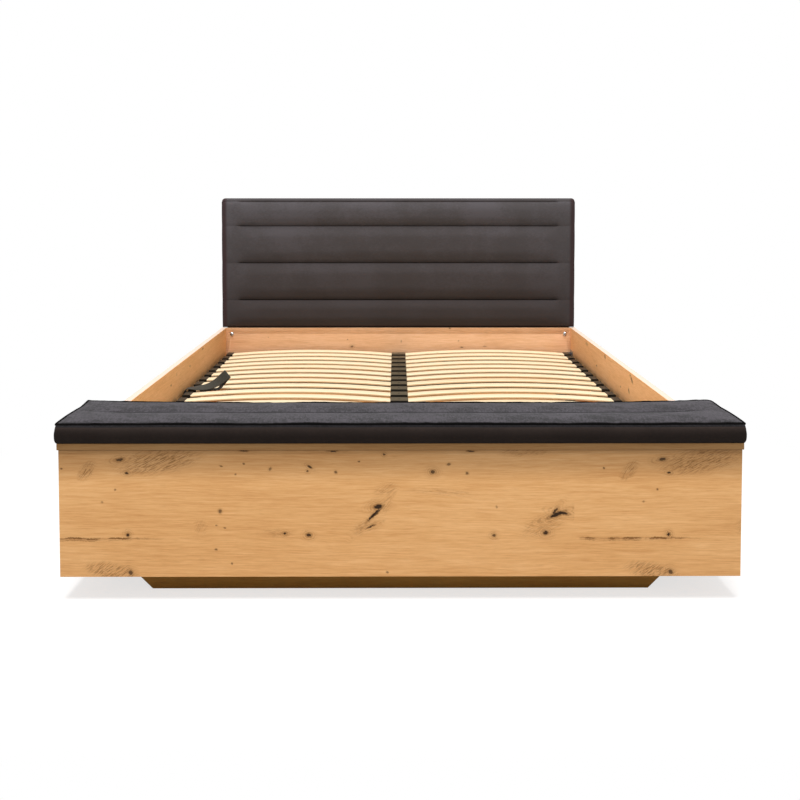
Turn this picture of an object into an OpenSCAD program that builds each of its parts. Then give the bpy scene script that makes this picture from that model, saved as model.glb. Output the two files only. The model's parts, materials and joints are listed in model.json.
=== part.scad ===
// Double bed with a padded blanket chest as its footboard, a channelled headboard
// and a slatted base that lifts sideways over a bedding box.
// Millimetres. +Z up, +Y towards the headboard, +X to the right seen from the foot.
// Origin: on the floor, at the middle of the whole length and width.

/* [Bed] */
// Width over the side rails and the chest
bed_w = 1660; // [1260:20:2060]
// Clear length between the chest and the head panel
clear_l = 2016; // [1816:10:2216]
// Gap between the floor and the lower edge of the panels
floor_gap = 60; // [40:5:100]
// Height of the chest front, the rails and the head panel
panel_h = 313; // [290:1:380]
// Thickness of the outer wooden panels
panel_t = 22; // [18:1:28]
// Thickness of the inner boards: chest back, chest bottom and box floors
board_t = 16; // [12:1:19]

/* [Chest] */
// Depth of the chest, front panel and back board included
chest_d = 280; // [270:5:340]
// Thickness of the lid board
lid_t = 16; // [12:1:22]
// How far the lid board stands over the chest front and sides
lid_over = 4; // [0:1:10]

/* [Lid cushion] */
// Height of the cushion's side band, from the lid board to the piping
cushion_h = 48; // [30:1:70]
// How far the two padded lanes rise over the piping
cushion_crown = 6; // [3:1:12]
// How far the side band bulges out past the lid board
cushion_bulge = 6; // [2:1:10]
// How far the edges draw in between the corners
cushion_draw = 5; // [0:1:10]

/* [Headboard] */
// How far the padded headboard stands in from the sides of the bed
headboard_in = 7; // [0:1:20]
// Height of the top of the headboard over the floor
headboard_z = 981; // [800:1:1200]
// Thickness of the padding
pad_t = 72; // [50:1:100]
// How far the padded lanes stand out of their sewn channels
lane_puff = 14; // [6:1:22]
// Number of sewn lanes, one above the other
lane_count = 4; // [2:1:6]
// Height of the topmost lane
first_lane = 111; // [80:1:150]
// Spacing of the channels
lane_pitch = 171; // [120:1:180]
// Height of the curved band over the topmost piping
top_band = 15; // [8:1:30]
// How far the sides of the padding bulge out past the piping
side_band = 3; // [1:1:10]
// Thickness of the covered board behind the padding
back_t = 16; // [12:1:22]
// Side of the two square posts behind the head panel
post_w = 50; // [40:1:70]
// Distance of the mounting bolts from the sides of the headboard
bolt_in = 42; // [38:1:48]
// Distance of the mounting bolts below the top edge of the head panel
bolt_down = 28; // [20:1:60]

/* [Plinth] */
// Setback of the plinth from the chest front and the head panel
plinth_in = 80; // [40:5:160]
// Width of the plinth boards on the floor
plinth_w = 1248; // [1000:2:1560]
// Thickness of the plinth boards
plinth_t = 18; // [16:1:25]

/* [Steel base frame] */
// Depth from the top of the rails down to the steel frame
base_drop = 128; // [90:1:150]
// Side of the square steel tube
tube = 30; // [25:1:35]
// Wall of the steel tube
tube_wall = 1.5; // [1.5:0.5:3]
// Gap between the steel frame and the rails
base_side_gap = 13; // [10:1:20]
// Gap between the chest and the steel frame: the open lid leans into it
base_foot_gap = 66; // [65:1:80]
// Gap between the steel frame and the head panel
base_head_gap = 20; // [18:1:26]
// Distance between the two cross bars
cross_spacing = 660; // [500:10:900]
// Width of the ledges that carry the frame
ledge_w = 30; // [25:1:40]
// Height of the ledges
ledge_h = 25; // [20:1:40]

/* [Slats] */
// Number of slat rows
slat_rows = 18; // [13:1:18]
// Width of a slat
slat_w = 53; // [38:1:60]
// Thickness of a slat
slat_t = 8; // [7:1:10]
// Rise of the crowned slat at its middle
slat_rise = 18; // [8:1:25]
// Distance from the chest to the middle of the first slat row
first_row = 150; // [130:1:160]
// Distance from the head panel to the middle of the last slat row
last_row = 56; // [54:1:80]
// Length of a side cap along the slat
cap_l = 30; // [28:1:40]
// Length of the double cap on the middle tube
mid_cap_l = 64; // [60:2:80]
// How much wider than the slat the caps are
cap_extra = 10; // [6:1:14]
// Height of the caps over the steel frame
cap_h = 17; // [16:1:22]
// How deep a slat sits in its cap
slat_grip = 22; // [16:1:26]

/* [Lifting mechanism] */
// Distance of the base pivot from the right rail
pivot_in = 18; // [16:1:22]
// Height of the base pivot over the steel frame
pivot_up = 5; // [3:1:10]
// Radius of the base pivot pins
pivot_r = 6; // [5:0.5:7]
// Distance from the base pivot to either end of a base strut
base_arm = 158; // [152:1:160]
// Height of the upper strut stud below the base pivot
base_stud_drop = 50; // [48:1:60]
// Opening angle of the slatted base
base_open = 50; // [30:1:52]
// Radius of a base strut's cylinder
base_cyl_r = 11; // [10:0.5:12]
// Distance from the lid hinge to either end of a lid strut
lid_arm = 200; // [190:1:215]
// Height of the upper strut stud below the lid board
lid_stud_drop = 22; // [18:1:30]
// Lower strut stud, turned down about the lid hinge from the upper one
lid_spread = 66; // [62:1:68]
// Opening angle of the chest lid
lid_open = 65; // [40:1:65]
// Radius of a lid strut's cylinder
lid_cyl_r = 8; // [7:0.5:9]

/* [Lid hinges] */
// Length of each butt hinge
hinge_l = 90; // [70:5:120]
// Radius of the hinge knuckle
knuckle_r = 3.5; // [3:0.25:3.75]
// Radius of the hinge pin
hinge_pin_r = 1.5; // [1.5:0.25:2]
// Thickness of the hinge leaves
leaf_t = 1.5; // [1:0.25:2]

/* [Pull strap] */
// Width of the webbing
strap_w = 36; // [24:1:38]
// Thickness of the webbing
strap_t = 2.4; // [1.6:0.2:3]

/* [Hidden] */
$fn = 64;

// Colours
oak = [0.82, 0.62, 0.40];
pale_wood = [0.95, 0.86, 0.70];
dark_cloth = [0.24, 0.23, 0.24];
seat_cloth = [0.34, 0.33, 0.35];
black_steel = [0.12, 0.12, 0.13];
zinc = [0.72, 0.73, 0.75];
cap_plastic = [0.22, 0.21, 0.19];
webbing = [0.26, 0.25, 0.22];

// Main planes
in_x = bed_w / 2 - panel_t;
top_z = floor_gap + panel_h;
front_out = lid_over + cushion_bulge;
total_l = front_out + chest_d + clear_l + pad_t + back_t;
headboard_w = bed_w - 2 * headboard_in;
foot_y = front_out - total_l / 2;
chest_y = foot_y + chest_d;
head_y = chest_y + clear_l;
mid_y = (chest_y + head_y) / 2;

// Fits
seat_gap = 3;
run_fit = 0.05;
piston_fit = 0.1;
pocket_fit = 0.03;

// Steel frame
base_z = top_z - base_drop;
base_x = in_x - base_side_gap;
base_y0 = chest_y + base_foot_gap;
base_y1 = head_y - base_head_gap;
base_l = base_y1 - base_y0;
base_low = base_z - tube;
cross_y = [mid_y - cross_spacing / 2, mid_y + cross_spacing / 2];

// Slat rows
row_pitch = (clear_l - first_row - last_row) / (slat_rows - 1);
function row_y(i) = chest_y + first_row + i * row_pitch;
slat_x0 = mid_cap_l / 2 - slat_grip;
slat_x1 = base_x - cap_l + slat_grip;
slat_chord = slat_x1 - slat_x0;
slat_radius = (slat_chord * slat_chord / 4 + slat_rise * slat_rise) / (2 * slat_rise);
slat_end_z = base_z + (cap_h - slat_t) / 2;
cap_w = slat_w + cap_extra;

// Base pivot and struts
pivot_x = in_x - pivot_in;
pivot_z = base_z + pivot_up;
pivot_clear = 2;
arm_t = 5;
bracket_t = 3;
base_stud_angle = asin(base_stud_drop / base_arm);
base_spread = 90 - base_stud_angle;
base_rest_l = 2 * base_arm * sin(base_spread / 2);
base_open_l = 2 * base_arm * sin((base_spread + base_open) / 2);
stud_r = 5;
eye_r = 9;
eye_t = 10;
base_rod_r = 5;
strut_side = 13;
lug_t = 4;
strut_y = [for (y = cross_y) y + tube / 2 + lug_t + strut_side];

// Lid hinge and struts
hinge_y = chest_y + knuckle_r;
hinge_z = top_z;
hinge_x = [-bed_w / 3, 0, bed_w / 3];
lid_stud_angle = asin(lid_stud_drop / lid_arm);
lid_rest_l = 2 * lid_arm * sin(lid_spread / 2);
lid_open_l = 2 * lid_arm * sin((lid_spread + lid_open) / 2);
lid_rod_r = 4;
lid_stud_r = 4;
lid_eye_r = 7;
lid_eye_t = 7;
lid_ear_t = 2;
lid_strut_in = 14;
lid_strut_x = in_x - lid_strut_in;

// Cushion and pad
lid_z = top_z + lid_t;
cushion_y0 = foot_y - lid_over;
rear_bulge = 2;
cushion_y1 = chest_y - rear_bulge - 1;
pad_z = top_z + seat_gap;
pad_h = headboard_z - top_band - pad_z;

// Corner brackets
angle_w = 40;
angle_h = 100;
angle_z = floor_gap + board_t + 4;

// ---------------------------------------------------------------- wooden boards

// A board from its lowest corner to its highest
module board(low, high) {
    translate(low)
        cube([high.x - low.x, high.y - low.y, high.z - low.z]);
}

// The same board on the left (-1) or the right (1)
module side_board(side, x0, x1, y0, y1, z0, z1) {
    low_x = side < 0 ? -x1 : x0;
    board([low_x, y0, z0], [low_x + x1 - x0, y1, z1]);
}

module chest_front() {
    color(oak)
        board([-bed_w / 2, foot_y, floor_gap], [bed_w / 2, foot_y + panel_t, top_z]);
}

module chest_side(side) {
    color(oak)
        side_board(side, in_x, bed_w / 2, foot_y + panel_t, chest_y, floor_gap, top_z);
}

module chest_back() {
    color(oak)
        board([-in_x, chest_y - board_t, floor_gap], [in_x, chest_y, top_z]);
}

module chest_bottom() {
    color(oak)
        board([-in_x, foot_y + panel_t, floor_gap],
              [in_x, chest_y - board_t, floor_gap + board_t]);
}

module side_rail(side) {
    color(oak)
        side_board(side, in_x, bed_w / 2, chest_y, head_y, floor_gap, top_z);
}

// The head panel is drilled for the two mounting bolts
module head_panel() {
    color(oak)
        difference() {
            board([-bed_w / 2, head_y, floor_gap], [bed_w / 2, head_y + panel_t, top_z]);
            bolt_holes(head_y - 1, panel_t + 2);
        }
}

module headboard_posts() {
    color(oak)
        difference() {
            for (side = [-1, 1])
                translate([side * bolt_x - post_w / 2, head_y + panel_t, 0])
                    cube([post_w, post_d, top_z]);
            bolt_holes(head_y + panel_t - 1, post_d + 2);
        }
}

bolt_x = headboard_w / 2 - bolt_in;
bolt_z = top_z - bolt_down;
bolt_r = 4;
bolt_head_r = 9;
bolt_head_t = 5;
socket_w = 6;
socket_deep = 3;
nut_w = 13;
nut_t = 6;
post_d = pad_t - panel_t;

module bolt_holes(y, l) {
    for (side = [-1, 1])
        translate([side * bolt_x, y, bolt_z])
            rotate([-90, 0, 0])
                cylinder(r = bolt_r, h = l);
}

// The covered back board carries the padding and is bolted to the posts
back_inset = 12;
back_down = 8;
back_low = floor_gap + panel_h / 4;

module headboard_back() {
    color(dark_cloth)
        difference() {
            board([-headboard_w / 2 + back_inset, head_y + pad_t, back_low],
                  [headboard_w / 2 - back_inset, head_y + pad_t + back_t,
                   headboard_z - back_down]);
            bolt_holes(head_y + pad_t - 1, back_t + 2);
            at_nuts()
                nut_outline(nut_t + 1);
        }
}

// Domed bolts with a hexagon socket, heads on the mattress side
module headboard_bolts() {
    color(zinc)
        for (side = [-1, 1])
            translate([side * bolt_x, head_y, bolt_z])
                rotate([-90, 0, 0]) {
                    cylinder(r = bolt_r, h = pad_t + back_t - 2);
                    difference() {
                        rotate_extrude()
                            intersection() {
                                translate([0, bolt_dome_r - bolt_head_t])
                                    circle(r = bolt_dome_r);
                                translate([0, -bolt_head_t])
                                    square([bolt_head_r, bolt_head_t]);
                            }
                        translate([0, 0, -bolt_head_t - 1])
                            cylinder(d = socket_w / cos(30), h = socket_deep + 1, $fn = 6);
                    }
                }
}

bolt_dome_r = (bolt_head_r * bolt_head_r + bolt_head_t * bolt_head_t) / (2 * bolt_head_t);

// Nuts sunk in the back board
module at_nuts() {
    for (side = [-1, 1])
        translate([side * bolt_x, head_y + pad_t + back_t - nut_t, bolt_z])
            rotate([-90, 0, 0])
                children();
}

module nut_outline(h) {
    cylinder(d = nut_w / cos(30), h = h, $fn = 6);
}

module headboard_nuts() {
    color(zinc)
        at_nuts()
            difference() {
                nut_outline(nut_t);
                translate([0, 0, -1])
                    cylinder(r = bolt_r, h = nut_t + 2);
            }
}

// ---------------------------------------------------------------- plinth and floors

// Plinth board with its ends cut at 45 degrees, wider at the top
module plinth_board(y) {
    low = plinth_w / 2;
    high = low + floor_gap;
    color(oak)
        translate([0, y + plinth_t, 0])
            rotate([90, 0, 0])
                linear_extrude(plinth_t)
                    polygon([[-low, 0], [low, 0], [high, floor_gap], [-high, floor_gap]]);
}

plinth_y0 = foot_y + plinth_in;
plinth_y1 = head_y + panel_t - plinth_in - plinth_t;
plinth_x = plinth_w / 2 - plinth_t;

module plinth_front() {
    plinth_board(plinth_y0);
}

module plinth_rear() {
    plinth_board(plinth_y1);
}

module plinth_side(side) {
    color(oak)
        side_board(side, plinth_x, plinth_x + plinth_t, plinth_y0 + plinth_t, plinth_y1,
                   0, floor_gap);
}

module plinth_centre() {
    color(oak)
        board([-plinth_t / 2, plinth_y0 + plinth_t, 0], [plinth_t / 2, plinth_y1, floor_gap]);
}

module box_floor(side) {
    color(oak)
        side_board(side, 0.5, in_x, chest_y, head_y, floor_gap, floor_gap + board_t);
}

// ---------------------------------------------------------------- ledges and corners

module ledge_left() {
    color(pale_wood)
        board([-in_x, base_y0 + ledge_under, base_low - ledge_h],
              [-in_x + ledge_w, base_y1 - ledge_under, base_low]);
}

// How far the end ledges reach under the steel frame, and where they stop at the pivot
ledge_under = 20;
ledge_right_x = pivot_x - 50;

module end_ledge(y0, y1) {
    color(pale_wood)
        board([-in_x, y0, base_low - ledge_h], [ledge_right_x, y1, base_low]);
}

module ledge_head() {
    end_ledge(base_y1 - ledge_under, head_y);
}

module ledge_foot() {
    end_ledge(chest_y, base_y0 + ledge_under);
}

// Places of the four inner corners: side, y, direction into the box
function corners() = [for (side = [-1, 1]) for (e = [[chest_y, 1], [head_y, -1]])
    [side, e[0], e[1]]];

// Steel angle in the corner at the origin, legs along -X and +Y, with two holes a leg
module steel_angle() {
    difference() {
        union() {
            translate([-angle_w, 0, 0])
                cube([angle_w, bracket_t, angle_h]);
            translate([-bracket_t, 0, 0])
                cube([bracket_t, angle_w, angle_h]);
        }
        angle_screw_places()
            translate([0, 0, -1])
                cylinder(r = screw_r, h = bracket_t + 2);
    }
}

screw_r = 2.5;
screw_head_r = 5;
screw_head_t = 2.5;
screw_l = 12;

// Screw axes of one angle, each starting on its wall and pointing into the room
module angle_screw_places() {
    for (z = [angle_h / 4, angle_h * 3 / 4]) {
        translate([-angle_w * 0.6, 0, z])
            rotate([-90, 0, 0])
                children();
        translate([0, angle_w * 0.6, z])
            rotate([0, -90, 0])
                children();
    }
}

module at_corners() {
    for (c = corners())
        translate([c[0] * in_x, c[1], angle_z])
            scale_side(c[0], c[2])
                children();
}

// Mirrors the right-hand foot corner into the other three
module scale_side(side, into) {
    mirror([side < 0 ? 1 : 0, 0, 0])
        mirror([0, into < 0 ? 1 : 0, 0])
            children();
}

module corner_brackets() {
    color(zinc)
        at_corners()
            steel_angle();
}

// Pan heads on the angles; the threads are sunk in the boards
module corner_screws() {
    color(zinc)
        at_corners()
            angle_screw_places() {
                cylinder(r = screw_r, h = bracket_t);
                translate([0, 0, bracket_t])
                    cylinder(r = screw_head_r, h = screw_head_t);
            }
}

// ---------------------------------------------------------------- base pivot

boss_r = 10;
ear_t = 10;
pivot_plate = [58, 44];

// Fixed bracket on the right rail, drawn round the pivot: a wall plate and a bored ear
// on the far side of the moving arm
module pivot_bracket() {
    difference() {
        union() {
            translate([pivot_in - bracket_t, -ear_t, -pivot_plate.y / 2])
                cube([bracket_t, pivot_plate.x, pivot_plate.y]);
            rotate([90, 0, 0])
                linear_extrude(ear_t) {
                    circle(r = boss_r);
                    translate([0, -boss_r])
                        square([pivot_in - bracket_t, 2 * boss_r]);
                }
        }
        translate([0, 1, 0])
            rotate([90, 0, 0])
                cylinder(r = pivot_r + run_fit, h = ear_t + 2);
    }
}

// Puts a part drawn for the foot end at both ends of the frame, shifted outwards
module at_frame_ends(out) {
    translate([pivot_x, base_y0 - out, pivot_z])
        children();
    translate([pivot_x, base_y1 + out, pivot_z])
        mirror([0, 1, 0])
            children();
}

module base_pivot_brackets() {
    color(zinc)
        at_frame_ends(arm_t + pivot_clear)
            pivot_bracket();
}

// Moving arm: a plate on the end of the right tube, with its pin through the ear
module pivot_arm() {
    translate([0, arm_t, 0])
        rotate([90, 0, 0])
            linear_extrude(arm_t) {
                translate([base_x - tube - pivot_x, -tube - pivot_up])
                    square([tube, tube + pivot_up]);
                circle(r = boss_r);
            }
    rotate([90, 0, 0])
        cylinder(r = pivot_r, h = pivot_clear + ear_t);
}

module base_pivot_arms() {
    color(zinc)
        at_frame_ends(arm_t)
            pivot_arm();
}

// ---------------------------------------------------------------- steel tubes

// Square tube along Y from the origin, bored through
module tube_y(l) {
    difference() {
        cube([tube, l, tube]);
        translate([tube_wall, -1, tube_wall])
            cube([tube - 2 * tube_wall, l + 2, tube - 2 * tube_wall]);
    }
}

// The same tube along X
module tube_x(l) {
    translate([0, tube, 0])
        rotate([0, 0, -90])
            tube_y(l);
}

module base_tube_side(side) {
    color(black_steel)
        translate([side < 0 ? -base_x : base_x - tube, base_y0, base_low])
            tube_y(base_l);
}

module base_tube_end(y) {
    color(black_steel)
        translate([-base_x + tube, y, base_low])
            tube_x(2 * (base_x - tube));
}

module base_tube_foot() {
    base_tube_end(base_y0);
}

module base_tube_head() {
    base_tube_end(base_y1 - tube);
}

module base_tube_centre() {
    color(black_steel)
        translate([-tube / 2, base_y0 + tube, base_low])
            tube_y(base_l - 2 * tube);
}

module base_cross_bars() {
    bar_l = base_x - tube - tube / 2;
    color(black_steel)
        for (y = cross_y)
            for (x = [-base_x + tube, tube / 2])
                translate([x, y - tube / 2, base_low])
                    tube_x(bar_l);
}

// Plastic plugs in the open ends of the left tube
module tube_plugs() {
    rim = 2;
    color(cap_plastic)
        for (end = [[base_y0, 1], [base_y1, -1]])
            translate([-base_x + tube / 2, end[0], base_low + tube / 2])
                mirror([0, end[1] < 0 ? 1 : 0, 0])
                    rotate([-90, 0, 0]) {
                        translate([-tube / 2, -tube / 2, -rim])
                            cube([tube, tube, rim]);
                        translate([tube_wall - tube / 2, tube_wall - tube / 2, 0])
                            cube([tube - 2 * tube_wall, tube - 2 * tube_wall, 14]);
                    }
}

// ---------------------------------------------------------------- slats and caps

// Crowned slat outline in X and Z between two arcs; x counts from the middle of the bed
module slat_outline(fit) {
    mid = (slat_x0 + slat_x1) / 2;
    crown_z = slat_end_z + slat_rise - slat_radius;
    intersection() {
        translate([mid, crown_z])
            difference() {
                circle(r = slat_radius + slat_t + fit, $fn = 720);
                circle(r = slat_radius - fit, $fn = 720);
            }
        translate([slat_x0 - fit, slat_end_z - 1])
            square([slat_chord + 2 * fit, slat_rise + slat_t + 10]);
    }
}

// A slat, or with a fit the pocket that holds it
module slat(fit = 0) {
    translate([0, slat_w / 2 + fit, 0])
        rotate([90, 0, 0])
            linear_extrude(slat_w + 2 * fit)
                slat_outline(fit);
}

module slat_field(side) {
    color(pale_wood)
        for (i = [0 : slat_rows - 1])
            translate([0, row_y(i), 0])
                mirror([side < 0 ? 1 : 0, 0, 0])
                    slat();
}

// Side cap: a block on the tube with a pocket for the slat and a chamfered inner lip
module side_cap() {
    lip = 3;
    difference() {
        translate([0, cap_w / 2, 0])
            rotate([90, 0, 0])
                linear_extrude(cap_w)
                    polygon([[base_x - cap_l, base_z], [base_x, base_z],
                             [base_x, base_z + cap_h - lip],
                             [base_x - lip, base_z + cap_h],
                             [base_x - cap_l + lip, base_z + cap_h],
                             [base_x - cap_l, base_z + cap_h - lip / 2]]);
        slat(pocket_fit);
    }
}

module side_caps(side) {
    color(cap_plastic)
        for (i = [0 : slat_rows - 1])
            translate([0, row_y(i), 0])
                mirror([side < 0 ? 1 : 0, 0, 0])
                    side_cap();
}

// Middle cap: two pockets back to back, with a sunk seat for the screw between them
cap_screw_r = 3.5;
cap_screw_t = 2;
screw_seat_r = 4.5;
screw_seat_d = 3;

module centre_cap() {
    lip = 3;
    difference() {
        translate([0, cap_w / 2, 0])
            rotate([90, 0, 0])
                linear_extrude(cap_w)
                    polygon([[-mid_cap_l / 2, base_z], [mid_cap_l / 2, base_z],
                             [mid_cap_l / 2, base_z + cap_h - lip / 2],
                             [mid_cap_l / 2 - lip, base_z + cap_h],
                             [lip - mid_cap_l / 2, base_z + cap_h],
                             [-mid_cap_l / 2, base_z + cap_h - lip / 2]]);
        slat(pocket_fit);
        mirror([1, 0, 0])
            slat(pocket_fit);
        translate([0, 0, base_z + cap_h - screw_seat_d])
            cylinder(r = screw_seat_r, h = screw_seat_d + 1);
    }
}

module centre_caps() {
    color(cap_plastic)
        for (i = [0 : slat_rows - 1])
            translate([0, row_y(i), 0])
                centre_cap();
}

// One screw head in the seat of each middle cap
module cap_screws() {
    color(zinc)
        for (i = [0 : slat_rows - 1])
            translate([0, row_y(i), base_z + cap_h - screw_seat_d])
                cylinder(r = cap_screw_r, h = cap_screw_t);
}

// ---------------------------------------------------------------- gas struts

// Strut parts lie along +X from the eye at the origin; pins run along Z
module strut_eye(r, t, pin_r) {
    difference() {
        translate([0, 0, -t / 2])
            cylinder(r = r, h = t);
        translate([0, 0, -t])
            cylinder(r = pin_r + run_fit, h = 2 * t);
    }
}

// Revolved outline of radius against length, turned to lie along +X
module revolve_x() {
    rotate([0, 90, 0])
        rotate_extrude()
            children();
}

guide_l = 12;
cyl_wall = 1.5;
rod_margin = 16;
eye_clear = 4;

// Closed cylinder with its guide bush: outer radius, rod radius, rest length, eye radius
module strut_cylinder(r, rod_r, rest_l, e_r, e_t, pin_r) {
    end = rest_l - e_r - eye_clear;
    start = e_r + 4;
    strut_eye(e_r, e_t, pin_r);
    difference() {
        union() {
            translate([0, -rod_r, -e_t / 2])
                cube([start + 1, 2 * rod_r, e_t]);
            translate([start, 0, 0])
                revolve_x()
                    square([r, end - start]);
        }
        translate([0, 0, -e_t])
            cylinder(r = pin_r + run_fit, h = 2 * e_t);
        translate([start + 6, 0, 0])
            revolve_x()
                square([r - cyl_wall, end - guide_l - start - 6]);
        translate([start + 6, 0, 0])
            revolve_x()
                square([rod_r + run_fit, end - start]);
    }
}

// Rod with its eye at the origin and its piston at the far end
module strut_rod(r, rod_r, rest_l, open_l, e_r, e_t, pin_r) {
    piston_l = 8;
    bore_end = rest_l - e_r - eye_clear - guide_l;
    rod_l = open_l - bore_end + rod_margin;
    strut_eye(e_r, e_t, pin_r);
    difference() {
        union() {
            translate([e_r - 1, 0, 0])
                revolve_x()
                    square([rod_r, rod_l - e_r + 1]);
            translate([rod_l - piston_l, 0, 0])
                revolve_x()
                    square([r - cyl_wall - piston_fit, piston_l]);
        }
        translate([0, 0, -e_t])
            cylinder(r = pin_r + run_fit, h = 2 * e_t);
    }
}

// Puts a strut part's eye on a base stud, with its length along the strut
module at_base_lower(i) {
    translate([pivot_x, strut_y[i], pivot_z - base_arm])
        rotate([90, 0, 0])
            rotate([0, 0, 180 - base_spread / 2])
                children();
}

module at_base_upper(i) {
    translate([pivot_x - base_arm * cos(base_stud_angle), strut_y[i],
               pivot_z - base_stud_drop])
        rotate([90, 0, 0])
            rotate([0, 0, -base_spread / 2])
                children();
}

module base_cylinder(i) {
    color(black_steel)
        at_base_lower(i)
            strut_cylinder(base_cyl_r, base_rod_r, base_rest_l, eye_r, eye_t, stud_r);
}

module base_rod(i) {
    color(zinc)
        at_base_upper(i)
            strut_rod(base_cyl_r, base_rod_r, base_rest_l, base_open_l, eye_r, eye_t, stud_r);
}

// Anchor on the right rail: wall plate, ear and stud
base_anchor_plate = [50, 60];

module base_strut_anchors() {
    ear_r = 12;
    color(black_steel)
        for (y = strut_y)
            translate([pivot_x, y, pivot_z - base_arm]) {
                translate([pivot_in - bracket_t, -base_anchor_plate.x / 2, -ear_r])
                    cube([bracket_t, base_anchor_plate.x, base_anchor_plate.y]);
                translate([0, strut_side + lug_t, 0])
                    rotate([90, 0, 0])
                        linear_extrude(lug_t) {
                            circle(r = ear_r);
                            translate([0, -ear_r])
                                square([pivot_in - bracket_t, 2 * ear_r]);
                        }
                translate([0, -eye_t / 2 - 1, 0])
                    rotate([-90, 0, 0])
                        cylinder(r = stud_r, h = strut_side + eye_t / 2 + 2);
            }
}

// Lug on each cross bar: a plate down the side of the bar, with its stud
module base_strut_lugs() {
    lug_r = 12;
    color(black_steel)
        for (y = strut_y)
            translate([pivot_x - base_arm * cos(base_stud_angle), y,
                       pivot_z - base_stud_drop]) {
                translate([0, -strut_side, 0])
                    rotate([90, 0, 0])
                        linear_extrude(lug_t) {
                            circle(r = lug_r);
                            translate([-lug_r, 0])
                                square([2 * lug_r, base_stud_drop - pivot_up - 2]);
                        }
                translate([0, -strut_side - 1, 0])
                    rotate([-90, 0, 0])
                        cylinder(r = stud_r, h = strut_side + eye_t / 2 + 2);
            }
}

// ---------------------------------------------------------------- lid fittings

knuckles = 5;
knuckle_gap = 0.4;
fixed_leaf_h = 30;

// One hinge half round the pin at the origin, pin along X; turned = the moving half
module hinge_half(moving, leaf_h) {
    step = hinge_l / knuckles;
    first = moving ? 1 : 0;
    difference() {
        union() {
            translate([-hinge_l / 2, -knuckle_r, moving ? 0.4 : -leaf_h])
                cube([hinge_l, leaf_t, leaf_h - 0.4]);
            for (k = [first : 2 : knuckles - 1])
                translate([-hinge_l / 2 + k * step + knuckle_gap, 0, 0])
                    rotate([0, 90, 0])
                        cylinder(r = knuckle_r, h = step - 2 * knuckle_gap);
        }
        // Room for the other half's knuckles and for the pin
        for (k = [1 - first : 2 : knuckles - 1])
            translate([-hinge_l / 2 + k * step - knuckle_gap, 0, 0])
                rotate([0, 90, 0])
                    cylinder(r = knuckle_r + 0.3, h = step + 2 * knuckle_gap);
        translate([-hinge_l, 0, 0])
            rotate([0, 90, 0])
                cylinder(r = hinge_pin_r + (moving ? run_fit : 0), h = 2 * hinge_l);
    }
}

module at_lid_hinges() {
    for (x = hinge_x)
        translate([x, hinge_y, hinge_z])
            children();
}

module lid_hinge_fixed_leaves() {
    color(zinc)
        at_lid_hinges()
            hinge_half(false, fixed_leaf_h);
}

module lid_hinge_moving_leaves() {
    color(zinc)
        at_lid_hinges()
            hinge_half(true, lid_t - 1);
}

module lid_hinge_pins() {
    color(zinc)
        at_lid_hinges()
            translate([-hinge_l / 2 + knuckle_gap, 0, 0])
                rotate([0, 90, 0])
                    cylinder(r = hinge_pin_r, h = hinge_l - 2 * knuckle_gap);
}

module lid_board() {
    color(oak)
        board([-bed_w / 2 - lid_over + 1, foot_y - lid_over, top_z],
              [bed_w / 2 + lid_over - 1, chest_y, lid_z]);
}

// Puts a part drawn with its length along +X and its pins along Z at a lid stud;
// the left-hand strut is the mirror image of the right-hand one
module at_lid_stud(side, angle, turn) {
    mirror([side < 0 ? 1 : 0, 0, 0])
        translate([lid_strut_x, hinge_y - lid_arm * cos(angle), hinge_z - lid_arm * sin(angle)])
            rotate([90, 0, 90])
                rotate([0, 0, turn])
                    children();
}

module lid_cylinder(side) {
    color(black_steel)
        at_lid_stud(side, lid_stud_angle + lid_spread,
                    90 + lid_stud_angle + lid_spread / 2)
            strut_cylinder(lid_cyl_r, lid_rod_r, lid_rest_l, lid_eye_r, lid_eye_t, lid_stud_r);
}

module lid_rod(side) {
    color(zinc)
        at_lid_stud(side, lid_stud_angle, lid_stud_angle + lid_spread / 2 - 90)
            strut_rod(lid_cyl_r, lid_rod_r, lid_rest_l, lid_open_l, lid_eye_r, lid_eye_t,
                      lid_stud_r);
}

// Anchor plates and studs on the inner faces of the chest sides
lid_anchor_plate = [32, 44];

module lid_strut_anchors() {
    stud_l = lid_strut_in - lid_ear_t + lid_eye_t / 2 + 1;
    color(black_steel)
        for (side = [-1, 1])
            at_lid_stud(side, lid_stud_angle + lid_spread, 0) {
                translate([-lid_anchor_plate.x / 2, -lid_anchor_plate.y / 2,
                           lid_strut_in - lid_ear_t])
                    cube([lid_anchor_plate.x, lid_anchor_plate.y, lid_ear_t]);
                translate([0, 0, -lid_eye_t / 2 - 1])
                    cylinder(r = lid_stud_r, h = stud_l);
            }
}

// Lugs under the lid: a foot plate, an ear on the inner side of the strut and a stud
module lid_strut_lugs() {
    ear_r = 9;
    ear_off = lid_cyl_r + 2;
    foot_l = 22;
    color(black_steel)
        for (side = [-1, 1])
            at_lid_stud(side, lid_stud_angle, 0) {
                translate([0, 0, -ear_off - lid_ear_t])
                    linear_extrude(lid_ear_t) {
                        circle(r = ear_r);
                        translate([-ear_r, 0])
                            square([2 * ear_r, lid_stud_drop]);
                    }
                translate([-ear_r - 8, lid_stud_drop - lid_ear_t, -ear_off - foot_l])
                    cube([2 * ear_r + 16, lid_ear_t, foot_l]);
                translate([0, 0, -ear_off - 1])
                    cylinder(r = lid_stud_r, h = ear_off + 1 + lid_eye_t / 2 + 1);
            }
}

// ---------------------------------------------------------------- padded forms

// A closed pad on a flat back. Its outline is length (X) by width (Y), its back is at
// z = 0, its piping runs round at z = band and its sewn channels run along X at the
// widths in channels. Between them each lane swells by puff.
pad_cols = 26;
lane_steps = 9;
band_steps = 4;

// -1..1 with the steps packed towards both ends
function eased(i, n) = sin(90 * (2 * i / n - 1));

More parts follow.
